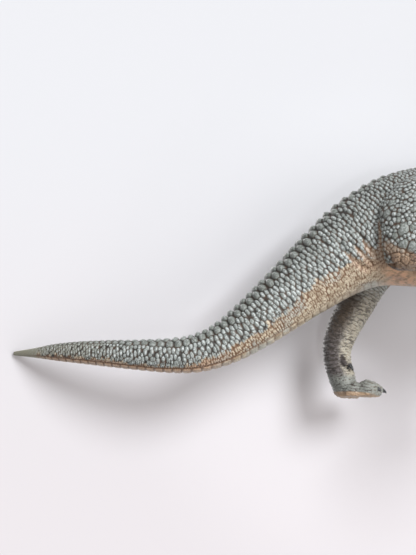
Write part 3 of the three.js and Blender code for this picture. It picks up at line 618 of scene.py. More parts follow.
# evens the steps that the remesh leaves
def evenSkin(mesh):
    points, pairs = readPoints(mesh), edgePairs(mesh)
    points = relax(points, pairs, skinForm["evening"])
    writePoints(mesh, points)
    return points, pairs, readNormals(mesh)


legZone = {"outside": 0.35, "below": 82, "behind": 60}  # of the body form, along z and x
points, pairs, normals = evenSkin(skin.data)
share, angle, outside = bodyPlace(points)
x, y, z = points.T
isLeg = (outside > legZone["outside"]) & (z < legZone["below"]) & (x < legZone["behind"])
isHead = ((points - neckSeamAt) @ neckSeamAhead > 0) & ~isLeg
onBody = ~isLeg & ~isHead
aside = np.abs(angle)
spineX = np.interp(share, shareTable, xTable)
seenAt = viewPlace(points)


# the skin's nearest point to the photograph's camera at a pixel
def onSkin(right, down):
    gap = np.hypot(seenAt[:, 0] - right, seenAt[:, 1] - down)
    facing = ((np.array(cameraForm["at"]) - points) * normals).sum(1) > 0
    ids = np.flatnonzero((gap < cameraForm["pick"]) & facing)
    return ids[points[ids, 1].argmin()]


def placesAt(pixels):
    return points[[onSkin(*pixel) for pixel in pixels]]


# how near each point is to a line of places, the same on both sides, and how far along it
def toLine(line, reach, steps=60):
    fine = Limb(line, np.zeros((len(line), 3))).along(line, np.linspace(0, 1, steps))
    folded = np.column_stack([points[:, 0], -np.abs(points[:, 1]), points[:, 2]])
    low, high = line.min(0) - reach, line.max(0) + reach
    near = np.flatnonzero((folded > low).all(1) & (folded < high).all(1))
    gap = np.linalg.norm(folded[near][:, None, :] - fine[None], axis=2)
    return near, gap.min(1), gap.argmin(1) / (len(fine) - 1)


# softens the clefts where the haunches leave the flanks
def softened():
    f = skinForm
    mask = np.zeros(len(points))
    for line in f["clefts"]:
        near, gap, _ = toLine(placesAt(line), 3 * f["cleftReach"])
        mask[near] = np.maximum(mask[near], bell(gap, f["cleftReach"]))
    return relax(points, pairs, f["cleftRounds"], back=0, mask=mask)


points = softened()
writePoints(skin.data, points)
normals = readNormals(skin.data)
x, y, z = points.T
seenAt = viewPlace(points)
print("places known")

# what the photograph shows on the right haunch: places in its pixels, sizes in millimetres
haunchForm = {
    "upwards": (0.25, 0, 1), "mirrorReach": 4,
    "ovals": [  # right, down, half sizes along and across the view's up way, height
        (403, 229, 2.2, 1.8, 0.65), (403, 245, 1.7, 1.7, 0.6), (413, 248, 1.8, 1.7, 0.6),
        (391, 202, 1.5, 1.1, 0.5), (386, 213, 1.5, 1.2, 0.5), (380, 214, 1.0, 0.9, 0.4),
        (398, 219, 1.1, 0.9, 0.4), (412, 228, 1.3, 1.1, 0.45), (394, 236, 1.1, 1.0, 0.4),
        (413, 208, 1.1, 1.1, 0.4), (394, 250, 1.2, 1.1, 0.4),
    ],
    "plates": [
        (396, 258, 1.7, 1.3, 0.6), (405, 261, 1.6, 1.4, 0.6), (400, 266, 1.3, 1.3, 0.45),
        (412, 265, 1.6, 1.4, 0.6), (409, 270, 1.1, 1.4, 0.4), (415, 258, 1.5, 1.3, 0.6),
    ],
}
# creases: the photograph's pixels along each, half width and depth in millimetres
creaseForm = {
    "reach": 8, "starts": 0.15, "stain": (0.8, 2.2), "stainStarts": 0.5,
    "lines": [
        {"pixels": [(375, 206), (377, 222), (379, 242), (381.5, 264)], "width": 1.3, "depth": 0.7},
        {"pixels": [(336, 238), (343, 250), (352, 259), (362, 267), (368, 270)],
         "width": 1.1, "depth": 0.8},
        {"pixels": [(346, 237), (355, 247), (365, 258), (373, 267)], "width": 0.9, "depth": 0.7},
        {"pixels": [(357, 231), (363, 241), (369, 250), (376, 256)], "width": 0.9, "depth": 0.75},
        {"pixels": [(374, 269), (383, 266), (392, 266), (401, 268), (413, 274)],
         "width": 0.7, "depth": 0.6},
        {"pixels": [(385, 250), (394, 258), (405, 264), (413, 268)], "width": 1, "depth": 0,
         "stain": 4.5},
        {"pixels": [(378, 234), (384, 244), (394, 252), (408, 257)], "width": 1, "depth": 0,
         "stain": 3.5},
    ],
}


# a way along the skin that leans as a given way does
def sloped(way, normal):
    way = np.array(way, float)
    return unit(way - normal * (way @ normal))


def markedSeeds():
    rows = []
    for key, kind in (("ovals", 4), ("plates", 5)):
        for right, down, tall, wide, high in haunchForm[key]:
            i = onSkin(right, down)
            normal = normals[i]
            alongWay = sloped(haunchForm["upwards"], normal)
            for way in (1, -1):  # and the like on the left haunch
                flip = np.array([1, way, 1])
                at = points[i] * flip if way > 0 else mirrorPlace(points[i])
                if at is None:
                    continue
                rows.append((*at, *(alongWay * flip), *(normal * flip), tall, wide, high, kind))
    return np.array(rows)


def mirrorPlace(place):
    goal = place * np.array([1, -1, 1])
    gap = np.linalg.norm(points - goal, axis=1)
    i = gap.argmin()
    return points[i] if gap[i] < haunchForm["mirrorReach"] and isLeg[i] else None


# scales spread over legs, feet and head: least gap, half sizes as shares of a random one, height
spreadForm = {
    "size": (0.42, 0.66),
    "leg": {"radius": 1.3, "long": 1.12, "wide": 1 / 1.12, "high": 0.44, "kind": 2},
    "foot": {"radius": 1.1, "long": 0.75, "wide": 1 / 0.75, "high": 0.22, "kind": 3},
    "head": {"radius": 1.3, "long": 1.1, "wide": 1 / 1.1, "high": 0.3, "kind": 2},
    "lean": (0.3, 0, 1), "highs": (0.5, 1.25), "legFrom": 44, "footTo": 9,
}


def spreadRows(places, facing, ids, f, lean, highs):
    rows = []
    for i in ids:
        size = f["radius"] * rng.uniform(*spreadForm["size"])
        rows.append((*places[i], *sloped(lean, facing[i]), *facing[i], size * f["long"],
                     size * f["wide"], f["high"] * rng.uniform(*highs), f["kind"]))
    return rows


def scatteredSeeds():
    f = spreadForm
    rows = []
    for mask, part in ((isLeg & (z > f["legFrom"]), "leg"), (isLeg & (z <= f["footTo"]), "foot"),
                       (isHead, "head")):
        ids = np.flatnonzero(mask)
        picked = ids[scatter(points[ids], f[part]["radius"], rng.permutation(len(ids)))]
        rows += spreadRows(points, normals, picked, f[part], f["lean"], f["highs"])
    return np.array(rows)


# toes and their claws as in the solids, in millimetres and shares of a toe's sizes
footForm = {
    "toeLength": 15, "toeBreadth": 5.4, "toeThickness": 6.3, "clawHeight": 0.3,
    "claw": 2, "innerClaw": 3.2, "clawStart": (0.2, 0.7), "clawReach": 1.5,
    "toes": [(0, -0.7, -13, 0.74), (0.1, 0, 2, 0.87), (-0.15, 0.7, 26, 0.56)],
    "inner": (0.04, 0.35, 0.77), "innerInwards": 0.2,
}


# where each claw starts, its way and its length
def clawRoots(side):
    f = footForm
    way = 1 if side == "left" else -1
    pad = legs[side, "shank"].places[-1] * np.array([1, 1, 0])
    for ahead, out, heading, share in f["toes"]:
        turn = math.radians(way * heading)
        direction = np.array([math.cos(turn), math.sin(turn), 0])
        base = pad + np.array([ahead, way * out, 0]) * f["toeBreadth"]
        root = base + direction * share * f["toeLength"]
        root[2] = f["clawHeight"] * f["toeThickness"]
        yield root, direction, f["claw"]
    ahead, inwards, height = f["inner"]
    root = pad + np.array([ahead, -way * inwards, height]) * f["toeLength"]
    yield root, unit(np.array([1, -way * f["innerInwards"], -1.0])), f["innerClaw"]


def clawMask(places, roots):
    f = footForm
    mask = np.zeros(len(places))
    for root, direction, length in roots:
        gap = places - root
        along = gap @ direction
        aside = np.linalg.norm(gap - along[:, None] * direction, axis=1)
        inside = (along < length + f["clawReach"]) * (aside < f["clawReach"])
        mask = np.maximum(mask, smoothStep(*f["clawStart"], along) * inside)
    return mask


# how scales meet and rise; brackets of six are by kind: body, back, leg, shank, oval, plate
domeForm = {
    "large": (1, 4, 5), "covers": 1.15, "coverReach": 5,
    "nearSmall": 8, "nearLarge": 4, "groove": (0.5, 0.5, 0.5, 0.5, 0.5, 0.3),
    "seam": 0.6, "seamSpan": 1,  # of a pair on the back
    "rowShare": 0.8, "merged": (0.4, 0, 0, 0.75, 0, 0),  # scales of one row run together
    "endsFall": (0.74, 0.85, 0.6, 0.6, 0.4, 0.15),
    "sidesFall": (0.32, 0.32, 0.32, 0.32, 0.32, 0.15),
    "fade": (2, 1.25), "tilted": (0, 2, 3), "tilt": -0.16, "most": 1.2,
}


# drops small scales that lie under large ones
def pruned(seeds):
    f = domeForm
    isLarge = np.isin(seeds[:, 12], f["large"])
    keep = np.ones(len(seeds), bool)
    for row in seeds[isLarge]:
        gap = seeds[:, :3] - row[:3]
        near = ~isLarge & (np.abs(gap).max(1) < f["coverReach"])
        gap = gap[near]
        a = gap @ row[3:6] / row[9]
        b = gap @ np.cross(row[6:9], row[3:6]) / row[10]
        keep[np.flatnonzero(near)[a * a + b * b < f["covers"]]] = False
    return seeds[keep]


def nearestScales(places, seeds, count):
    tree = treeOf(seeds[:, :3])
    return np.array([[hit[1] for hit in tree.find_n(p, count)] for p in places])


# how far each place rises in the scale that owns it, from 0 in a groove, and which scale that is
def scaleRelief(places, seeds):
    f = domeForm
    isLarge = np.isin(seeds[:, 12], f["large"])
    small, large = np.flatnonzero(~isLarge), np.flatnonzero(isLarge)
    ids = small[nearestScales(places, seeds[small], f["nearSmall"])]
    if len(large):
        ids = np.hstack([ids, large[nearestScales(places, seeds[large], f["nearLarge"])]])
    near = seeds[ids]
    gap = places[:, None, :] - near[:, :, 0:3]
    alongWay, normal = near[:, :, 3:6], near[:, :, 6:9]
    a = (gap * alongWay).sum(2) / near[:, :, 9]
    b = (gap * np.cross(normal, alongWay)).sum(2) / near[:, :, 10]
    c = (gap * normal).sum(2) / near[:, :, 9:11].max(2)
    size = np.sqrt(a * a + b * b + c * c)
    order = np.argsort(size, 1)

    def ranked(table, rank):
        return np.take_along_axis(table, order[:, rank:rank + 1], 1)[:, 0]

    first, second, owner, other = ranked(size, 0), ranked(size, 1), ranked(ids, 0), ranked(ids, 1)
    kind = seeds[owner, 12].astype(int)

    def byKind(key):
        return np.choose(kind, f[key])

    edge = smoothStep(0, byKind("groove"), second - first)
    twins = (kind == 1) & (seeds[other, 12] == 1) & (seeds[owner, 1] * seeds[other, 1] < 0)
    twins &= np.abs(seeds[owner, 0] - seeds[other, 0]) < f["seamSpan"]
    edge = np.where(twins, f["seam"] + (1 - f["seam"]) * edge, edge)
    apart = ((seeds[other, :3] - seeds[owner, :3]) * seeds[owner, 3:6]).sum(1)
    beside = (seeds[other, 12] == kind) & (np.abs(apart) < f["rowShare"] * seeds[owner, 9])
    merged = np.where(beside, byKind("merged"), 0)
    edge = merged + (1 - merged) * edge
    dome = 1 - byKind("endsFall") * ranked(a, 0)**2
    dome -= byKind("sidesFall") * (ranked(b, 0)**2 + ranked(c, 0)**2)
    rise = edge * np.clip(dome, 0, 1) * smoothStep(*f["fade"], first)
    tilt = np.where(np.isin(kind, f["tilted"]), f["tilt"] * ranked(a, 0) * edge, 0)
    return np.clip(rise + tilt, 0, f["most"]), owner


# the sand edge as an angle from the back, for places along x
def sandEdge(atX):
    found = [onSkin(*pixel) for pixel in scaleForm["sandPixels"]]
    rows = sorted([(spineX[i], aside[i]) for i in found] + scaleForm["sandAhead"])
    return np.interp(atX, *np.array(rows).T)


# how deep the creases are at each point, and how rusty
def creaseDepth():
    f = creaseForm
    depth, rust = np.zeros(len(points)), np.zeros(len(points))
    for line in f["lines"]:
        near, gap, along = toLine(placesAt(line["pixels"]), f["reach"])
        cut = bell(gap, line["width"]) * smoothStep(0, f["starts"], along)
        depth[near] = np.maximum(depth[near], line["depth"] * cut)
        reach = line.get("stain", f["stain"][0] + f["stain"][1] * along**2)
        stain = bell(gap, reach) * smoothStep(0, f["stainStarts"], along)
        rust[near] = np.maximum(rust[near], stain)
    return depth, rust


seeds = np.vstack([limbSeeds(body, bodyRows()), scatteredSeeds(), markedSeeds()]
                  + [limbSeeds(legs[side, "shank"], shankRows(legs[side, "shank"]))
                     for side in legSides])
seeds = pruned(seeds)
print("scales", len(seeds))

# how the skin rises and what is smooth on it, in millimetres, degrees from the back and shares
reliefForm = {
    "middle": 0.4,  # the share of a scale that lies below the smooth skin
    "sandSoft": 1, "sandFlatter": 0.1, "offBody": -9,
    "plateSoft": (-1, 3), "plateIn": 6, "joint": 0.8, "wave": 0.05, "waves": 0.2,
    "plateMiddle": 0.5, "plateScales": 0.3, "plateRises": (0.35, 0.6),
    "furrowAside": 1, "furrowWide": 3.2, "furrowDeep": 0.3, "furrowDark": 0.7,
    "bareFlatter": 0.9, "wrinkledFlatter": 0.5, "wrinkledSmooth": 0.75, "smoothRise": 0.8,
    "wrinkledFrom": (-20, -10), "wrinkledTo": (40, 20), "wrinkledIn": 3, "clawBelow": 16,
    "soleX": [-4, 0, 6, 9, 14], "soleHigh": [1.7, 1.5, 1.1, 0.5, 0.2], "soleEdge": (0.4, -0.2),
}
f, r = scaleForm, reliefForm
rise, owner = scaleRelief(points, seeds)
high, kind = seeds[owner, 11], seeds[owner, 12]
tone = rng.uniform(0, 1, len(seeds))[owner]
length = np.interp(share, shareTable, lengthTable)
girth = np.linalg.norm(points - body.along(body.places, share), axis=1)
pastEdge = np.radians(aside - sandEdge(spineX)) * girth
sand = np.where(onBody, pastEdge, r["offBody"])
plateFrom, plateHigh, furrowed = (np.interp(spineX, f["plateX"], f[key])
                                  for key in ("plateFrom", "plateHigh", "furrow"))
onPlate = smoothStep(*r["plateSoft"], aside - plateFrom) * onBody
row = length / f["platePitch"] + r["wave"] * np.sin(aside * r["waves"])
toJoint = np.abs(row - np.round(row)) * f["platePitch"]
plateRise = smoothStep(0, r["joint"], toJoint) * smoothStep(0, r["plateIn"], aside - plateFrom)
furrow = bell(aside - plateFrom + r["furrowAside"], r["furrowWide"]) * onBody * furrowed
flatter = 1 - r["sandFlatter"] * smoothStep(-r["sandSoft"], r["sandSoft"], sand)
relief = high * flatter * (rise - r["middle"])
plateRelief = plateHigh * (plateRise - r["plateMiddle"] + r["plateScales"] * rise)
relief = relief * (1 - onPlate) + onPlate * plateRelief - r["furrowDeep"] * furrow
bare = 1 - smoothStep(*f["smoothX"], x)
wrinkled = smoothStep(*r["wrinkledFrom"], spineX) * smoothStep(*r["wrinkledTo"], spineX)
wrinkled = onBody * wrinkled * smoothStep(0, r["wrinkledIn"], sand)
relief *= (1 - r["bareFlatter"] * bare) * (1 - r["wrinkledFlatter"] * wrinkled)
depth, rust = creaseDepth()
relief -= depth
flat, grooved = r["plateRises"]
painted = (flat + (1 - flat) * plateRise) * (grooved + (1 - grooved) * rise)
rise = rise * (1 - onPlate) + onPlate * painted
rise = np.clip(rise * (1 - r["furrowDark"] * furrow), 0, 1)
smooth = np.maximum(bare, r["wrinkledSmooth"] * wrinkled)
rise = rise * (1 - smooth) + smooth * r["smoothRise"]
claw = clawMask(points, [root for side in legSides for root in clawRoots(side)])
claw *= isLeg & (z < r["clawBelow"])
relief *= 1 - claw
heels = [legs[side, "shank"].places[-1][0] for side in legSides]
ahead = x - np.where(y > 0, *heels)  # of the heel
sole = smoothStep(*r["soleEdge"], z - np.interp(ahead, r["soleX"], r["soleHigh"]))
moved = points + normals * relief[:, None]


# hollows where the arms' pegs turn: radius and floor's distance from the middle, in millimetres
pocketForm = {"at": (65.84, 56.05), "radius": 6.25, "snap": 0.25, "floor": 6.2}


def sinkPockets():
    f = pocketForm
    gap = moved[:, ::2] - f["at"]
    reach = np.linalg.norm(gap, axis=1)
    rim = np.abs(reach - f["radius"]) < f["snap"]
    moved[rim, ::2] = f["at"] + gap[rim] * (f["radius"] / reach[rim])[:, None]
    inner = (reach < f["radius"]) & ~rim
    moved[inner, 1] = np.sign(moved[inner, 1]) * f["floor"]


sinkPockets()
print("relief ready")


def addLayer(mesh, name, values):
    layer = mesh.attributes.new(name, "FLOAT", "POINT")
    layer.data.foreach_set("value", values.astype(np.float32))


# where the paint changes: along x or z in millimetres, or by which way the skin faces
zoneForm = {
    "leg": (44, 33), "front": (-0.35, 0.55), "scute": (-60, -75), "sandIn": 1,
    "warm": (-95, -125), "warmth": 0.6,
    "mouth": (-0.5, -0.75), "mouthFrom": 101, "mouthHalf": 8,
}
f = zoneForm
inMouth = isHead * (x > f["mouthFrom"]) * (np.abs(y) < f["mouthHalf"])
layers = {
    "rise": rise, "tone": tone, "sand": sand, "rust": np.clip(rust, 0, 1), "furrow": furrow,
    "large": np.isin(kind, (1, 4)) * (1 - onPlate), "plate": (kind == 5) * 1.0, "bare": bare,
    # skin facing ahead, towards the key light: there the legs are painted lit, elsewhere in painted
    # shade
    "leg": smoothStep(*f["leg"], z) * isLeg, "front": smoothStep(*f["front"], normals[:, 0]),
    "claw": claw, "sole": sole * isLeg, "belly": wrinkled,
    "mouth": smoothStep(*f["mouth"], normals[:, 2]) * inMouth,
    "scute": smoothStep(*f["scute"], spineX) * smoothStep(0, f["sandIn"], sand) * (1 - bare),
    "warm": f["warmth"] * smoothStep(*f["warm"], spineX) * onBody,
}


# parts some of the skin's faces into a mesh of their own, with its layers
def partOf(faces, sizes, mask, name):
    mine = faces[np.repeat(mask, sizes)]
    used = np.unique(mine)
    place = np.full(len(points), -1)
    place[used] = np.arange(len(used))
    ends = np.split(place[mine], sizes[mask].cumsum()[:-1])
    new = bpy.data.meshes.new(name)
    new.from_pydata((moved[used] * mm).tolist(), [], [end.tolist() for end in ends])
    for layer, values in layers.items():
        addLayer(new, layer, values[used])
    layer = new.attributes.new("facing", "FLOAT_VECTOR", "POINT")
    layer.data.foreach_set("vector", wholeNormals[used].astype(np.float32).ravel())
    return new


# closes a mesh's rims, after it is cut along planes and one side of each is kept
def closedPart(mesh, planes, name):
    work = bmesh.new()
    work.from_mesh(mesh)
    capped = work.faces.layers.int.new("cap")

    def closeRims():
        rims = [edge for edge in work.edges if edge.is_boundary]
        for face in bmesh.ops.holes_fill(work, edges=rims, sides=0)["faces"]:
            face[capped] = 1

    closeRims()
    for at, ahead in planes:  # what lies ahead of the plane goes
        everything = work.verts[:] + work.edges[:] + work.faces[:]
        bmesh.ops.bisect_plane(work, geom=everything, dist=1e-8, plane_co=Vector(at) * mm,
                               plane_no=Vector(ahead), clear_outer=True)
        closeRims()
    new = bpy.data.meshes.new(name)
    work.to_mesh(new)
    work.free()
    return new


def shadeSmooth(mesh):
    mesh.polygons.foreach_set("use_smooth", [True] * len(mesh.polygons))


# an object stands in for a node and moves with a body
def standIn(obj, node, body):
    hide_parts(node)
    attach(obj, body)
    obj.data.calc_loop_triangles()
    print(node, len(obj.data.loop_triangles), "triangles")


# the finished piece: smooth, with the whole skin's normals except on its caps
def skinPiece(mesh, node):
    corner = readInts(mesh.loops, "vertex_index")
    facing = np.empty(len(mesh.vertices) * 3, np.float32)
    mesh.attributes["facing"].data.foreach_get("vector", facing)
    custom = unit(facing.reshape(-1, 3)[corner])
    for i in np.flatnonzero(readInts(mesh.attributes["cap"].data, "value")):
        face = mesh.polygons[i]
        custom[face.loop_start:face.loop_start + face.loop_total] = face.normal
    for layer in ("facing", "cap"):
        mesh.attributes.remove(mesh.attributes[layer])
    shadeSmooth(mesh)
    mesh.normals_split_custom_set(custom.tolist())
    obj = addObject(node + "Skin", mesh)
    standIn(obj, node, "trunk")
    return obj


# cuts the skin into one closed piece for each node
def cutSkin():
    mesh = skin.data
    faces, sizes = readInts(mesh.loops, "vertex_index"), readInts(mesh.polygons, "loop_total")
    starts = np.concatenate([[0], sizes.cumsum()[:-1]])

    def mostly(mask):
        return np.add.reduceat(mask[faces].astype(float), starts) / sizes >= 0.5

    leg, left = mostly(isLeg), mostly(y > 0)
    pieces = []
    for mask, node in ((leg & left, "left_leg"), (leg & ~left, "right_leg")):
        pieces.append(skinPiece(closedPart(partOf(faces, sizes, mask, node), [], node), node))
    rest = partOf(faces, sizes, ~leg, "rest")
    aheadOfTail, aheadOfNeck = (tailSeamAt, tailSeamAhead), (neckSeamAt, neckSeamAhead)
    behindTail, behindNeck = (tailSeamAt, -tailSeamAhead), (neckSeamAt, -neckSeamAhead)
    for planes, node in (
        ([aheadOfTail], "tail"),
        ([behindNeck], "head"),
        ([behindTail, aheadOfNeck, ((0, 0, 0), (0, -1, 0))], "trunk_left_shell"),
        ([behindTail, aheadOfNeck, ((0, 0, 0), (0, 1, 0))], "trunk_right_shell"),
    ):
        pieces.append(skinPiece(closedPart(rest, planes, node), node))
    bpy.data.objects.remove(skin)
    return pieces


writePoints(skin.data, moved)
wholeNormals = readNormals(skin.data)
skins = cutSkin()
print("skins cut")


# a number or colour that flows between nodes
class Wire:
    def __init__(self, paint, socket):
        self.paint, self.socket = paint, socket

    def __add__(self, other):
        return self.paint.maths("ADD", self, other)

    def __sub__(self, other):
        return self.paint.maths("SUBTRACT", self, other)

    def __rsub__(self, other):
        return self.paint.maths("SUBTRACT", other, self)

    def __mul__(self, other):
        return self.paint.maths("MULTIPLY", self, other)

    __radd__ = __add__
    __rmul__ = __mul__


# the nodes of a material, or of the world
class Paint:
    def __init__(self, owner, end="ShaderNodeOutputMaterial"):
        self.owner = owner
        owner.use_nodes = True
        self.tree = owner.node_tree
        self.tree.nodes.clear()
        self.end = self.tree.nodes.new(end)

    def add(self, kind, inputs=None, output=0, **settings):
        node = self.tree.nodes.new(kind)
        for key, value in settings.items():
            setattr(node, key, value)
        for key, value in (inputs or {}).items():
            if isinstance(value, Wire):
                self.tree.links.new(value.socket, node.inputs[key])
            else:
                node.inputs[key].default_value = value
        return Wire(self, node.outputs[output])

    def maths(self, operation, a, b):
        return self.add("ShaderNodeMath", {0: a, 1: b}, operation=operation)

    def mix(self, factor, a, b):
        colours = [v if isinstance(v, Wire) else (*v, 1) for v in (a, b)]
        return self.add("ShaderNodeMix", {0: factor, 6: colours[0], 7: colours[1]}, output=2,
                        data_type="RGBA")

    def layer(self, name):
        return self.add("ShaderNodeAttribute", output="Fac", attribute_name=name)

    def object(self):
        return self.add("ShaderNodeTexCoord", output="Object")

    def along(self, axis):
        return self.add("ShaderNodeSeparateXYZ", {"Vector": self.object()}, output=axis)

    def noise(self, scale, detail=2, rough=0.5, at=None):
        return self.add("ShaderNodeTexNoise", {"Vector": at or self.object(), "Scale": scale,
                                               "Detail": detail, "Roughness": rough})

    def cracks(self, scale):
        return self.add("ShaderNodeTexVoronoi", {"Vector": self.object(), "Scale": scale},
                        feature="DISTANCE_TO_EDGE")

    def step(self, low, high, value):  # 0 at low to 1 at high, smooth
        return self.add("ShaderNodeMapRange", {"Value": value, "From Min": low, "From Max": high},
                        interpolation_type="SMOOTHSTEP")

    def bump(self, height, distance, strength=1, normal=None):
        inputs = {"Height": height, "Distance": distance, "Strength": strength}
        if normal:
            inputs["Normal"] = normal
        return self.add("ShaderNodeBump", inputs)

    def shade(self, shader):
        self.tree.links.new(shader.socket, self.end.inputs["Surface"])
        return self.owner

    def surface(self, **inputs):
        names = {key.replace("_", " "): value for key, value in inputs.items()}
        return self.shade(self.add("ShaderNodeBsdfPrincipled", names))


def newPaint(name):
    return Paint(bpy.data.materials.new(name))


# the skin's colours, then how they are laid over each other
hideTone = {
    # the grooves' near-black and brown colours are partly the toy's dark wash and partly painted
    # shade in the hollows
    "green": (0.17, 0.19, 0.175), "pale": (0.42, 0.46, 0.445), "groove": (0.02, 0.016, 0.012),
    # the blue-white brush colour is partly dry-brushed paint and partly painted highlight, the
    # lamps' glints on the ridges
    "brownGroove": (0.07, 0.042, 0.026), "brushAndGlint": (0.8, 0.87, 0.88),
    "sand": (0.36, 0.28, 0.19), "sandPale": (0.66, 0.575, 0.435),
    "sandGroove": (0.17, 0.09, 0.045), "rust": (0.47, 0.325, 0.215),
    "olive": (0.15, 0.165, 0.14), "tip": (0.3, 0.29, 0.22), "belly": (0.84, 0.51, 0.32),
    "blotch": (0.2, 0.13, 0.13), "plate": (0.3, 0.19, 0.135), "scute": (0.6, 0.39, 0.27),
    # the legs' dark back and upper tones are painted shade on the sides turned from the light and
    # under the body; khaki is the leg's own colour
    "legBackShade": (0.125, 0.108, 0.105), "legUpperShade": (0.105, 0.078, 0.055),
    "khaki": (0.45, 0.41, 0.325), "legGroove": (0.045, 0.034, 0.025),
    "toe": (0.27, 0.285, 0.26), "claw": (0.012, 0.012, 0.014), "sole": (0.5, 0.35, 0.23),
    "mouth": (0.42, 0.16, 0.13), "mouthDark": (0.2, 0.06, 0.05),
}
hideForm = {
    # grains to a metre, detail and roughness
    "fine": (1500, 3, 0.6), "mottle": (420, 3, 0.6), "patch": (110, 3), "cracks": 900,
    "streaks": {"Scale": (480, 480, 1350), "Rotation": (0, 0.35, 0)},
    "steps": {  # where each mask starts and is whole: in grain, rise, millimetres or metres
        "brushGlintGrain": (0.48, 0.6), "brushGlintRise": (0.45, 0.9), "sand": (-0.5, 0.7),
        "sandPale": (0.35, 0.65), "sandPatch": (0.5, 0.66), "band": (7, 2),
        "blotch": (0.46, 0.62), "streak": (0.38, 0.52), "crack": (0.02, 0.12),
        "stain": (0.26, 0.86), "brownGroove": (0.4, 0.6), "groove": (0.08, 0.64),
        "legUpperShade": (0.018, 0.03), "legLitFront": (0, 0.95), "legBrushGlint": (0.55, 0.7),
        "legStreak": (0.38, 0.54), "legGroove": (0.05, 0.5), "foot": (0.009, 0.006),
        "toe": (0.1, 0.6),
    },
    "shares": {  # how much of each layer shows
        "patch": 0.4, "oval": 0.55, "ovalBrushGlint": 0.5, "brushAndGlint": 0.72, "sandPatch": 0.55,
        "scute": 0.65, "blotch": 0.75, "streak": 0.6, "belly": 0.85, "stain": 0.8,
        "furrow": 0.8, "legBrushGlint": 0.5, "legStreak": 0.7, "legGroove": 0.8,
    },
    # how far grain, tone and rise move an edge, then roughness, then each bump's metres and share
    "sandRagged": (5, 1.4), "stainRagged": (0.5, 0.22), "bandDeep": 0.14, "frontRagged": 0.5,
    "rough": 0.38, "brushGlintGloss": 0.14, "clawGloss": 0.2, "bellyRough": 0.12,
    "fineBump": (0.0003, 0.8), "crackBump": (0.0004, 0.8), "streakBump": (0.0006, 0.8),
}


def hidePaint():
    t, f, share = hideTone, hideForm, hideForm["shares"]
    p = newPaint("hide")

    def mask(key, value):
        return p.step(*f["steps"][key], value)

    def partly(key, value):  # a share follows the mask, the rest shows everywhere
        return value * share[key] + (1 - share[key])

    rise, tone, leg, front, claw, large, sand, belly, plate, rust = (
        p.layer(name) for name in ("rise", "tone", "leg", "front", "claw", "large", "sand",
                                   "belly", "plate", "rust"))
    fine, mottle, patch = (p.noise(*f[key]) for key in ("fine", "mottle", "patch"))
    high = p.along("Z")
    # flanks
    colour = p.mix(tone * (1 - share["patch"]) + patch * share["patch"], t["green"], t["pale"])
    colour = p.mix(p.layer("warm"), colour, t["tip"])
    colour = p.mix(large * share["oval"], colour, t["olive"])
    # pale blue-white on the scales' tops: partly dry-brushed paint, partly painted highlight
    brushedAndGlinting = mask("brushGlintGrain", fine) * mask("brushGlintRise", rise) * (1 - large * share["ovalBrushGlint"])
    colour = p.mix(brushedAndGlinting * share["brushAndGlint"], colour, t["brushAndGlint"])
    # sand-coloured underside
    byGrain, byTone = f["sandRagged"]
    sandy = mask("sand", sand + (mottle - 0.5) * byGrain + (tone - 0.5) * byTone)
    ground = p.mix(mask("sandPale", mottle), t["sand"], t["sandPale"])
    ground = p.mix(mask("sandPatch", patch) * share["sandPatch"], ground, t["pale"])
    ground = p.mix(p.layer("scute") * share["scute"], ground, t["scute"])
    colour = p.mix(sandy, colour, ground)
    band = sandy * mask("band", sand)  # the more cracked part near the edge
    # belly
    turned = p.add("ShaderNodeMapping", {"Vector": p.object(), **f["streaks"]})
    streak = p.noise(1, 3, 0.6, turned)  # cross wrinkles
    skin = p.mix(mask("blotch", patch) * share["blotch"], t["belly"], t["blotch"])
    skin = p.mix(partly("streak", mask("streak", streak)), t["sandGroove"], skin)
    colour = p.mix(belly * share["belly"], colour, skin)
    # haunch and grooves
    cracked = mask("crack", p.cracks(f["cracks"]))
    colour = p.mix(plate, colour, p.mix(cracked, t["groove"], t["plate"]))
    byGrain, byRise = f["stainRagged"]
    stained = mask("stain", rust + (fine - 0.5) * byGrain - rise * byRise)
    colour = p.mix(stained * share["stain"], colour, t["rust"])
    colour = p.mix(p.layer("bare"), colour, t["tip"])
    # the grooves between scales, painted near black and brown: partly the toy's dark wash, partly
    # painted shade
    shadowed = p.mix(mask("brownGroove", mottle), t["groove"], t["brownGroove"])
    groove = p.mix(p.maths("MAXIMUM", sandy, stained), shadowed, t["sandGroove"])
    colour = p.mix(mask("groove", rise - band * f["bandDeep"]), groove, colour)
    colour = p.mix(p.layer("furrow") * share["furrow"], colour, t["sandGroove"])
    # legs, feet and mouth
    # painted shade on the legs' backs and upper parts, khaki where they face the light, and a
    # painted highlight on those fronts
    back = p.mix(mask("legUpperShade", high), t["legBackShade"], t["legUpperShade"])
    lit = mask("legLitFront", front + (mottle - 0.5) * f["frontRagged"])
    legTone = p.mix(lit, back, t["khaki"])
    legTone = p.mix(mask("legBrushGlint", fine) * front * share["legBrushGlint"], legTone, t["brushAndGlint"])
    legTone = p.mix(partly("legStreak", mask("legStreak", streak)), t["legGroove"], legTone)
    # the scales' grooves on the legs, painted dark: partly the toy's wash, partly painted shade
    legTone = p.mix(partly("legGroove", mask("legGroove", rise)), t["legGroove"], legTone)
    colour = p.mix(leg, colour, legTone)
    colour = p.mix(leg * mask("foot", high) * mask("toe", rise), colour, t["toe"])
    colour = p.mix(p.layer("sole"), colour, t["sole"])
    colour = p.mix(p.layer("mouth"), colour, p.mix(mottle, t["mouthDark"], t["mouth"]))
    colour = p.mix(claw, colour, t["claw"])
    relief = p.bump(fine, *f["fineBump"])
    relief = p.bump(cracked * plate, *f["crackBump"], relief)
    relief = p.bump(streak * (leg * (1 - claw) + belly), *f["streakBump"], relief)
    gloss = f["rough"] - brushedAndGlinting * f["brushGlintGloss"] - claw * f["clawGloss"]
    return p.surface(Base_Color=colour, Roughness=gloss + belly * f["bellyRough"], Normal=relief)


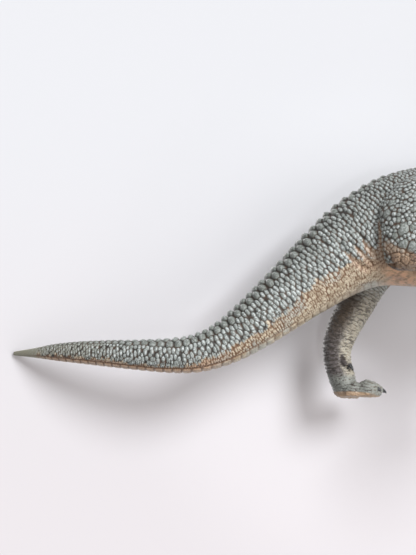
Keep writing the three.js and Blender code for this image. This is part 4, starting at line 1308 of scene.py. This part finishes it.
hide = hidePaint()
for piece in skins:
    piece.data.materials.append(hide)


# skins of the moving pieces: fine scales over a copy of each solid
coverForm = {
    "pieces": {
        "left_arm": {"body": "left_arm", "voxel": 0.26, "radius": 1.1},
        "right_arm": {"body": "right_arm", "voxel": 0.26, "radius": 1.1},
        "lower_jaw": {"body": "jaw", "voxel": 0.28, "radius": 1.25},
    },
    "scales": {"long": 0.85, "wide": 1.15, "high": 0.26, "kind": 2},
    "lean": (0.4, 0, 1), "highs": (0.6, 1.2), "evening": 4, "middle": 0.4,
    "clawRise": 0.8, "sand": 6,
}
# the arms' joint and claws, in millimetres, as in the solids
armForm = {
    "shoulder": (65.84, 56.05), "clear": 8.5, "side": 18.2, "soft": 2,
    "reach": 20, "palm": (0.37, -1.04), "out": 0.94 * 20.2,
    "fingers": [(-0.85, 20), (0, 42), (0.85, 62)], "finger": 4.6, "thick": 2.2, "claw": 3.2,
}
# x of the joint's end, and how far up or down a skin faces in the trough and below
jawForm = {"bare": 106, "soft": 4, "trough": 0.35, "under": (-0.35, -0.8)}


def armClaws(way):
    f = armForm
    ahead, down = f["palm"]
    palm = np.array([f["shoulder"][0] + ahead * f["reach"], way * f["out"],
                     f["shoulder"][1] + down * f["reach"]])
    for out, steep in f["fingers"]:
        turn = math.radians(steep)
        direction = np.array([math.cos(turn), 0, -math.sin(turn)])
        root = palm + np.array([0, way * out * f["thick"], 0]) + direction * f["finger"]
        yield root, direction, f["claw"]


# where scales may rise, and the claws
def armMasks(places, way):
    f = armForm
    away = np.hypot(*(places[:, ::2] - f["shoulder"]).T)
    opened = np.maximum(smoothStep(f["side"], f["side"] + f["soft"], np.abs(places[:, 1])),
                        smoothStep(f["clear"], f["clear"] + f["soft"], away))
    return opened, clawMask(places, armClaws(way))


# where scales may rise, the mouth's inside and the sand-coloured underside
def jawMasks(places, facing):
    f = jawForm
    inside = facing[:, 2] >= f["trough"]
    opened = smoothStep(f["bare"], f["bare"] + f["soft"], places[:, 0]) * ~inside
    return opened, inside, smoothStep(*f["under"], facing[:, 2])


def coverPiece(node, piece):
    f = coverForm
    obj = copyOfNode(node, node + "Skin")
    applyModifier(obj, "REMESH", mode="VOXEL", voxel_size=piece["voxel"] * mm, adaptivity=0)
    mesh = obj.data
    places = relax(readPoints(mesh), edgePairs(mesh), f["evening"])
    writePoints(mesh, places)
    facing = readNormals(mesh)
    claws = inside = under = np.zeros(len(places))
    if node == "lower_jaw":
        opened, inside, under = jawMasks(places, facing)
    else:
        opened, claws = armMasks(places, 1 if node == "left_arm" else -1)
    picked = scatter(places, piece["radius"], rng.permutation(len(places)))
    scales = {**f["scales"], "radius": piece["radius"]}
    rows = np.array(spreadRows(places, facing, picked, scales, f["lean"], f["highs"]))
    rise, owner = scaleRelief(places, rows)
    lift = rows[owner, 11] * (rise - f["middle"]) * opened * (1 - claws)
    writePoints(mesh, places + facing * lift[:, None])
    for name, values in {
        "rise": rise * (1 - claws) + f["clawRise"] * claws,
        "tone": rng.uniform(0, 1, len(rows))[owner],
        "sand": f["sand"] * (2 * under - 1), "claw": claws, "mouth": inside,
    }.items():
        addLayer(mesh, name, values)
    shadeSmooth(mesh)
    mesh.materials.append(hide)
    standIn(obj, node, piece["body"])


for node, piece in coverForm["pieces"].items():
    coverPiece(node, piece)
print("moving skins ready")

eyeForm = {
    "narrow": 7, "slit": (0.9, 1.25), "rim": (1.4, 2.6), "fleck": (2600, 3, 0.6),
    "bump": (0.00002, 0.3), "pupilTone": (0.01, 0.008, 0.006), "rimTone": (0.16, 0.07, 0.02),
    "irisTones": ((0.55, 0.2, 0.015), (0.85, 0.5, 0.06)),
}


# a tall slit in a ringed iris
def eyePaint():
    f = eyeForm
    low, high = (np.array(corner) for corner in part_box("left_eye"))
    p = newPaint("amber")
    apart = p.add("ShaderNodeVectorMath", {0: p.object(), 1: tuple((low + high) / 2)},
                  operation="SUBTRACT")
    across, up = (p.add("ShaderNodeSeparateXYZ", {"Vector": apart}, output=axis)
                  for axis in "XZ")
    wide, tall = across * across, up * up
    fleck = p.noise(*f["fleck"])
    iris = p.mix(fleck, *f["irisTones"])
    iris = p.mix(p.step(*f["rim"], (wide + tall) * mm**-2), iris, f["rimTone"])
    slit = (wide * f["narrow"] + tall) * mm**-2
    return p.surface(Base_Color=p.mix(p.step(*f["slit"], slit), f["pupilTone"], iris),
                     Roughness=0.08, Coat_Weight=1.0, Normal=p.bump(fleck, *f["bump"]))


# the strips' fall ahead, then where the gum ends and the bare teeth start: metres high where x is 0
teethForm = {
    "upper": (0.14, 0.1170, 0.1164), "lower": (0.404, 0.1385, 0.1390),
    "stain": 500, "fine": 1800, "stained": (0.4, 0.65), "bump": (0.0001, 0.4),
    "ivory": ((0.5, 0.38, 0.22), (0.78, 0.71, 0.55)),
    "gum": ((0.22, 0.06, 0.05), (0.36, 0.12, 0.09)), "rough": (0.24, 0.1),
}
plainForm = {"broad": 5, "broadShare": 0.4, "rough": 0.12, "bump": (0.00012, 0.5)}


def toothPaint(name, slope, gumAt, toothAt):
    f = teethForm
    p = newPaint(name)
    level = p.step(gumAt, toothAt, p.along("Z") + p.along("X") * slope)
    stain, fine = p.noise(f["stain"], 3), p.noise(f["fine"], 3)
    ivory = p.mix(p.step(*f["stained"], stain), *f["ivory"])
    rough, byStain = f["rough"]
    return p.surface(Base_Color=p.mix(level, p.mix(fine, *f["gum"]), ivory),
                     Roughness=rough + stain * byStain, Normal=p.bump(stain, *f["bump"]))


def plainPaint(name, dark, light, roughness, metallic=0.0, scale=900):
    f = plainForm
    p = newPaint(name)
    grain, broad = p.noise(scale, 3), p.noise(scale / f["broad"])
    shaded = p.mix(grain * (1 - f["broadShare"]) + broad * f["broadShare"], dark, light)
    return p.surface(Base_Color=shaded, Roughness=roughness + grain * f["rough"],
                     Metallic=metallic, Normal=p.bump(grain, *f["bump"]))


finishes = {
    "upper_teeth": toothPaint("upperIvory", *teethForm["upper"]),
    "lower_teeth": toothPaint("lowerIvory", *teethForm["lower"]),
    "tongue": plainPaint("tongueFlesh", (0.3, 0.07, 0.06), (0.5, 0.18, 0.14), 0.3),
    "left_eye": eyePaint(),
    "jaw_pin": plainPaint("steel", (0.45, 0.45, 0.45), (0.65, 0.65, 0.64), 0.25, 1.0, 2500),
}
sameAs = {"right_eye": "left_eye"}
for node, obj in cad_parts.items():
    finish = finishes.get(sameAs.get(node, node))
    if finish:
        obj.data.materials.clear()
        obj.data.materials.append(finish)


# the floor and the board behind the toy: places in millimetres, sizes in metres
stageForm = {
    "paperLow": (0.76, 0.737, 0.768), "paperHigh": (0.765, 0.79, 0.83), "paperStep": (-0.05, 0.12),
    "glow": (0.9, 0.84, 0.84), "glowShare": 0.12,
    "boardMiddle": (-70.8, 0, 41.5), "boardStart": 27, "boardFrom": -146, "boardSlope": 0.107,
    "boardSize": 0.9, "floorSize": 1.6,
}


def addCamera():
    f = cameraForm
    data = bpy.data.cameras.new("camera")
    data.sensor_fit, data.sensor_height, data.lens = "VERTICAL", f["sensor"], f["lens"]
    data.clip_start, data.clip_end = 0.01, 20
    camera = addObject("camera", data)
    camera.location = Vector(f["at"]) * mm
    camera.rotation_euler = (math.radians(90 - f["elevation"]), 0, 0)
    bpy.context.scene.camera = camera


# paper that only the camera sees, and only from its front
def paperPaint(name):
    f = stageForm
    p = newPaint(name)
    colour = p.mix(p.step(*f["paperStep"], p.along("Z")), f["paperLow"], f["paperHigh"])
    lit = p.add("ShaderNodeBsdfDiffuse", {"Color": colour})
    glow = p.add("ShaderNodeEmission", {"Color": (*f["glow"], 1)})
    paper = p.add("ShaderNodeMixShader", {0: f["glowShare"], 1: lit, 2: glow})
    seen = p.add("ShaderNodeLightPath", output="Is Camera Ray")
    behind = p.add("ShaderNodeNewGeometry", output="Backfacing")
    clear = p.add("ShaderNodeBsdfTransparent")
    return p.shade(p.add("ShaderNodeMixShader", {0: seen * (1 - behind), 1: clear, 2: paper}))


def addPlane(name, size):
    bpy.ops.mesh.primitive_plane_add(size=size, location=(0, 0, 0))
    plane = bpy.context.object
    plane.name = name
    plane.data.materials.append(paperPaint(name + "Paper"))
    return plane


def addStage():
    f = stageForm
    bpy.ops.object.select_all(action="DESELECT")
    floor, board = addPlane("floor", f["floorSize"]), addPlane("board", f["boardSize"])
    ahead, up = (Vector(way) for way in cameraWays())
    across = (Vector((1, 0, 0)) + ahead * f["boardSlope"]).normalized()
    facing = across.cross(up)  # towards the camera
    middle = Vector(f["boardMiddle"])
    depth = f["boardStart"] + (middle.x - f["boardFrom"]) * f["boardSlope"]
    middle += ahead * (depth - middle.dot(ahead))
    turn = Matrix((across, up, facing)).transposed().to_4x4()
    board.data.transform(Matrix.Translation(middle * mm) @ turn)


lightForm = {
    "suns": {  # the way towards each, strength, width in degrees and colour
        "key": ((0.48, -0.787, 0.389), 2.8, 24, (0.98, 0.99, 1)),
        "side": ((0.75, -0.6, -0.2), 1.0, 40, (1, 0.97, 0.95)),
        "left": ((-0.35, 0.8, 0.4), 0.5, 30, (1, 0.98, 0.96)),
    },
    # a spot lamp that reaches the board below the belly
    "under": {"aim": (-4, 46, 25), "towards": (0.05, -0.95, -0.3), "away": 400, "power": 11,
              "cone": 8, "size": 90},
    "ambient": (1, 0.93, 0.91), "ambientStrength": 0.27, "backdrop": (0.9, 0.905, 0.925),
}


def addLamp(name, kind, power, towards):
    data = bpy.data.lights.new(name + "Lamp", kind)
    data.energy = power
    lamp = addObject(name + "Lamp", data)
    lamp.rotation_euler = Vector(towards).to_track_quat("Z", "Y").to_euler()
    return lamp


def addLight():
    f = lightForm
    for name, (towards, strength, width, colour) in f["suns"].items():
        sun = addLamp(name, "SUN", strength, towards).data
        sun.angle, sun.color = math.radians(width), colour
    g = f["under"]
    towards = Vector(g["towards"]).normalized()
    lamp = addLamp("under", "SPOT", g["power"], towards)
    lamp.location = (Vector(g["aim"]) + towards * g["away"]) * mm
    lamp.data.spot_size, lamp.data.spot_blend = math.radians(g["cone"]), 1
    lamp.data.shadow_soft_size = g["size"] * mm
    world = bpy.data.worlds.new("studio")
    bpy.context.scene.world = world
    p = Paint(world, "ShaderNodeOutputWorld")
    ambient = p.add("ShaderNodeBackground", {"Color": (*f["ambient"], 1),
                                             "Strength": f["ambientStrength"]})
    backdrop = p.add("ShaderNodeBackground", {"Color": (*f["backdrop"], 1)})
    rays = [p.add("ShaderNodeLightPath", output=ray) for ray in ("Is Camera Ray", "Is Glossy Ray")]
    seen = p.maths("MAXIMUM", *rays)  # gloss reflects the backdrop too
    p.shade(p.add("ShaderNodeMixShader", {0: seen, 1: ambient, 2: backdrop}))
    bpy.context.scene.view_settings.view_transform = "Standard"


addCamera()
addStage()
addLight()
print("stage ready")
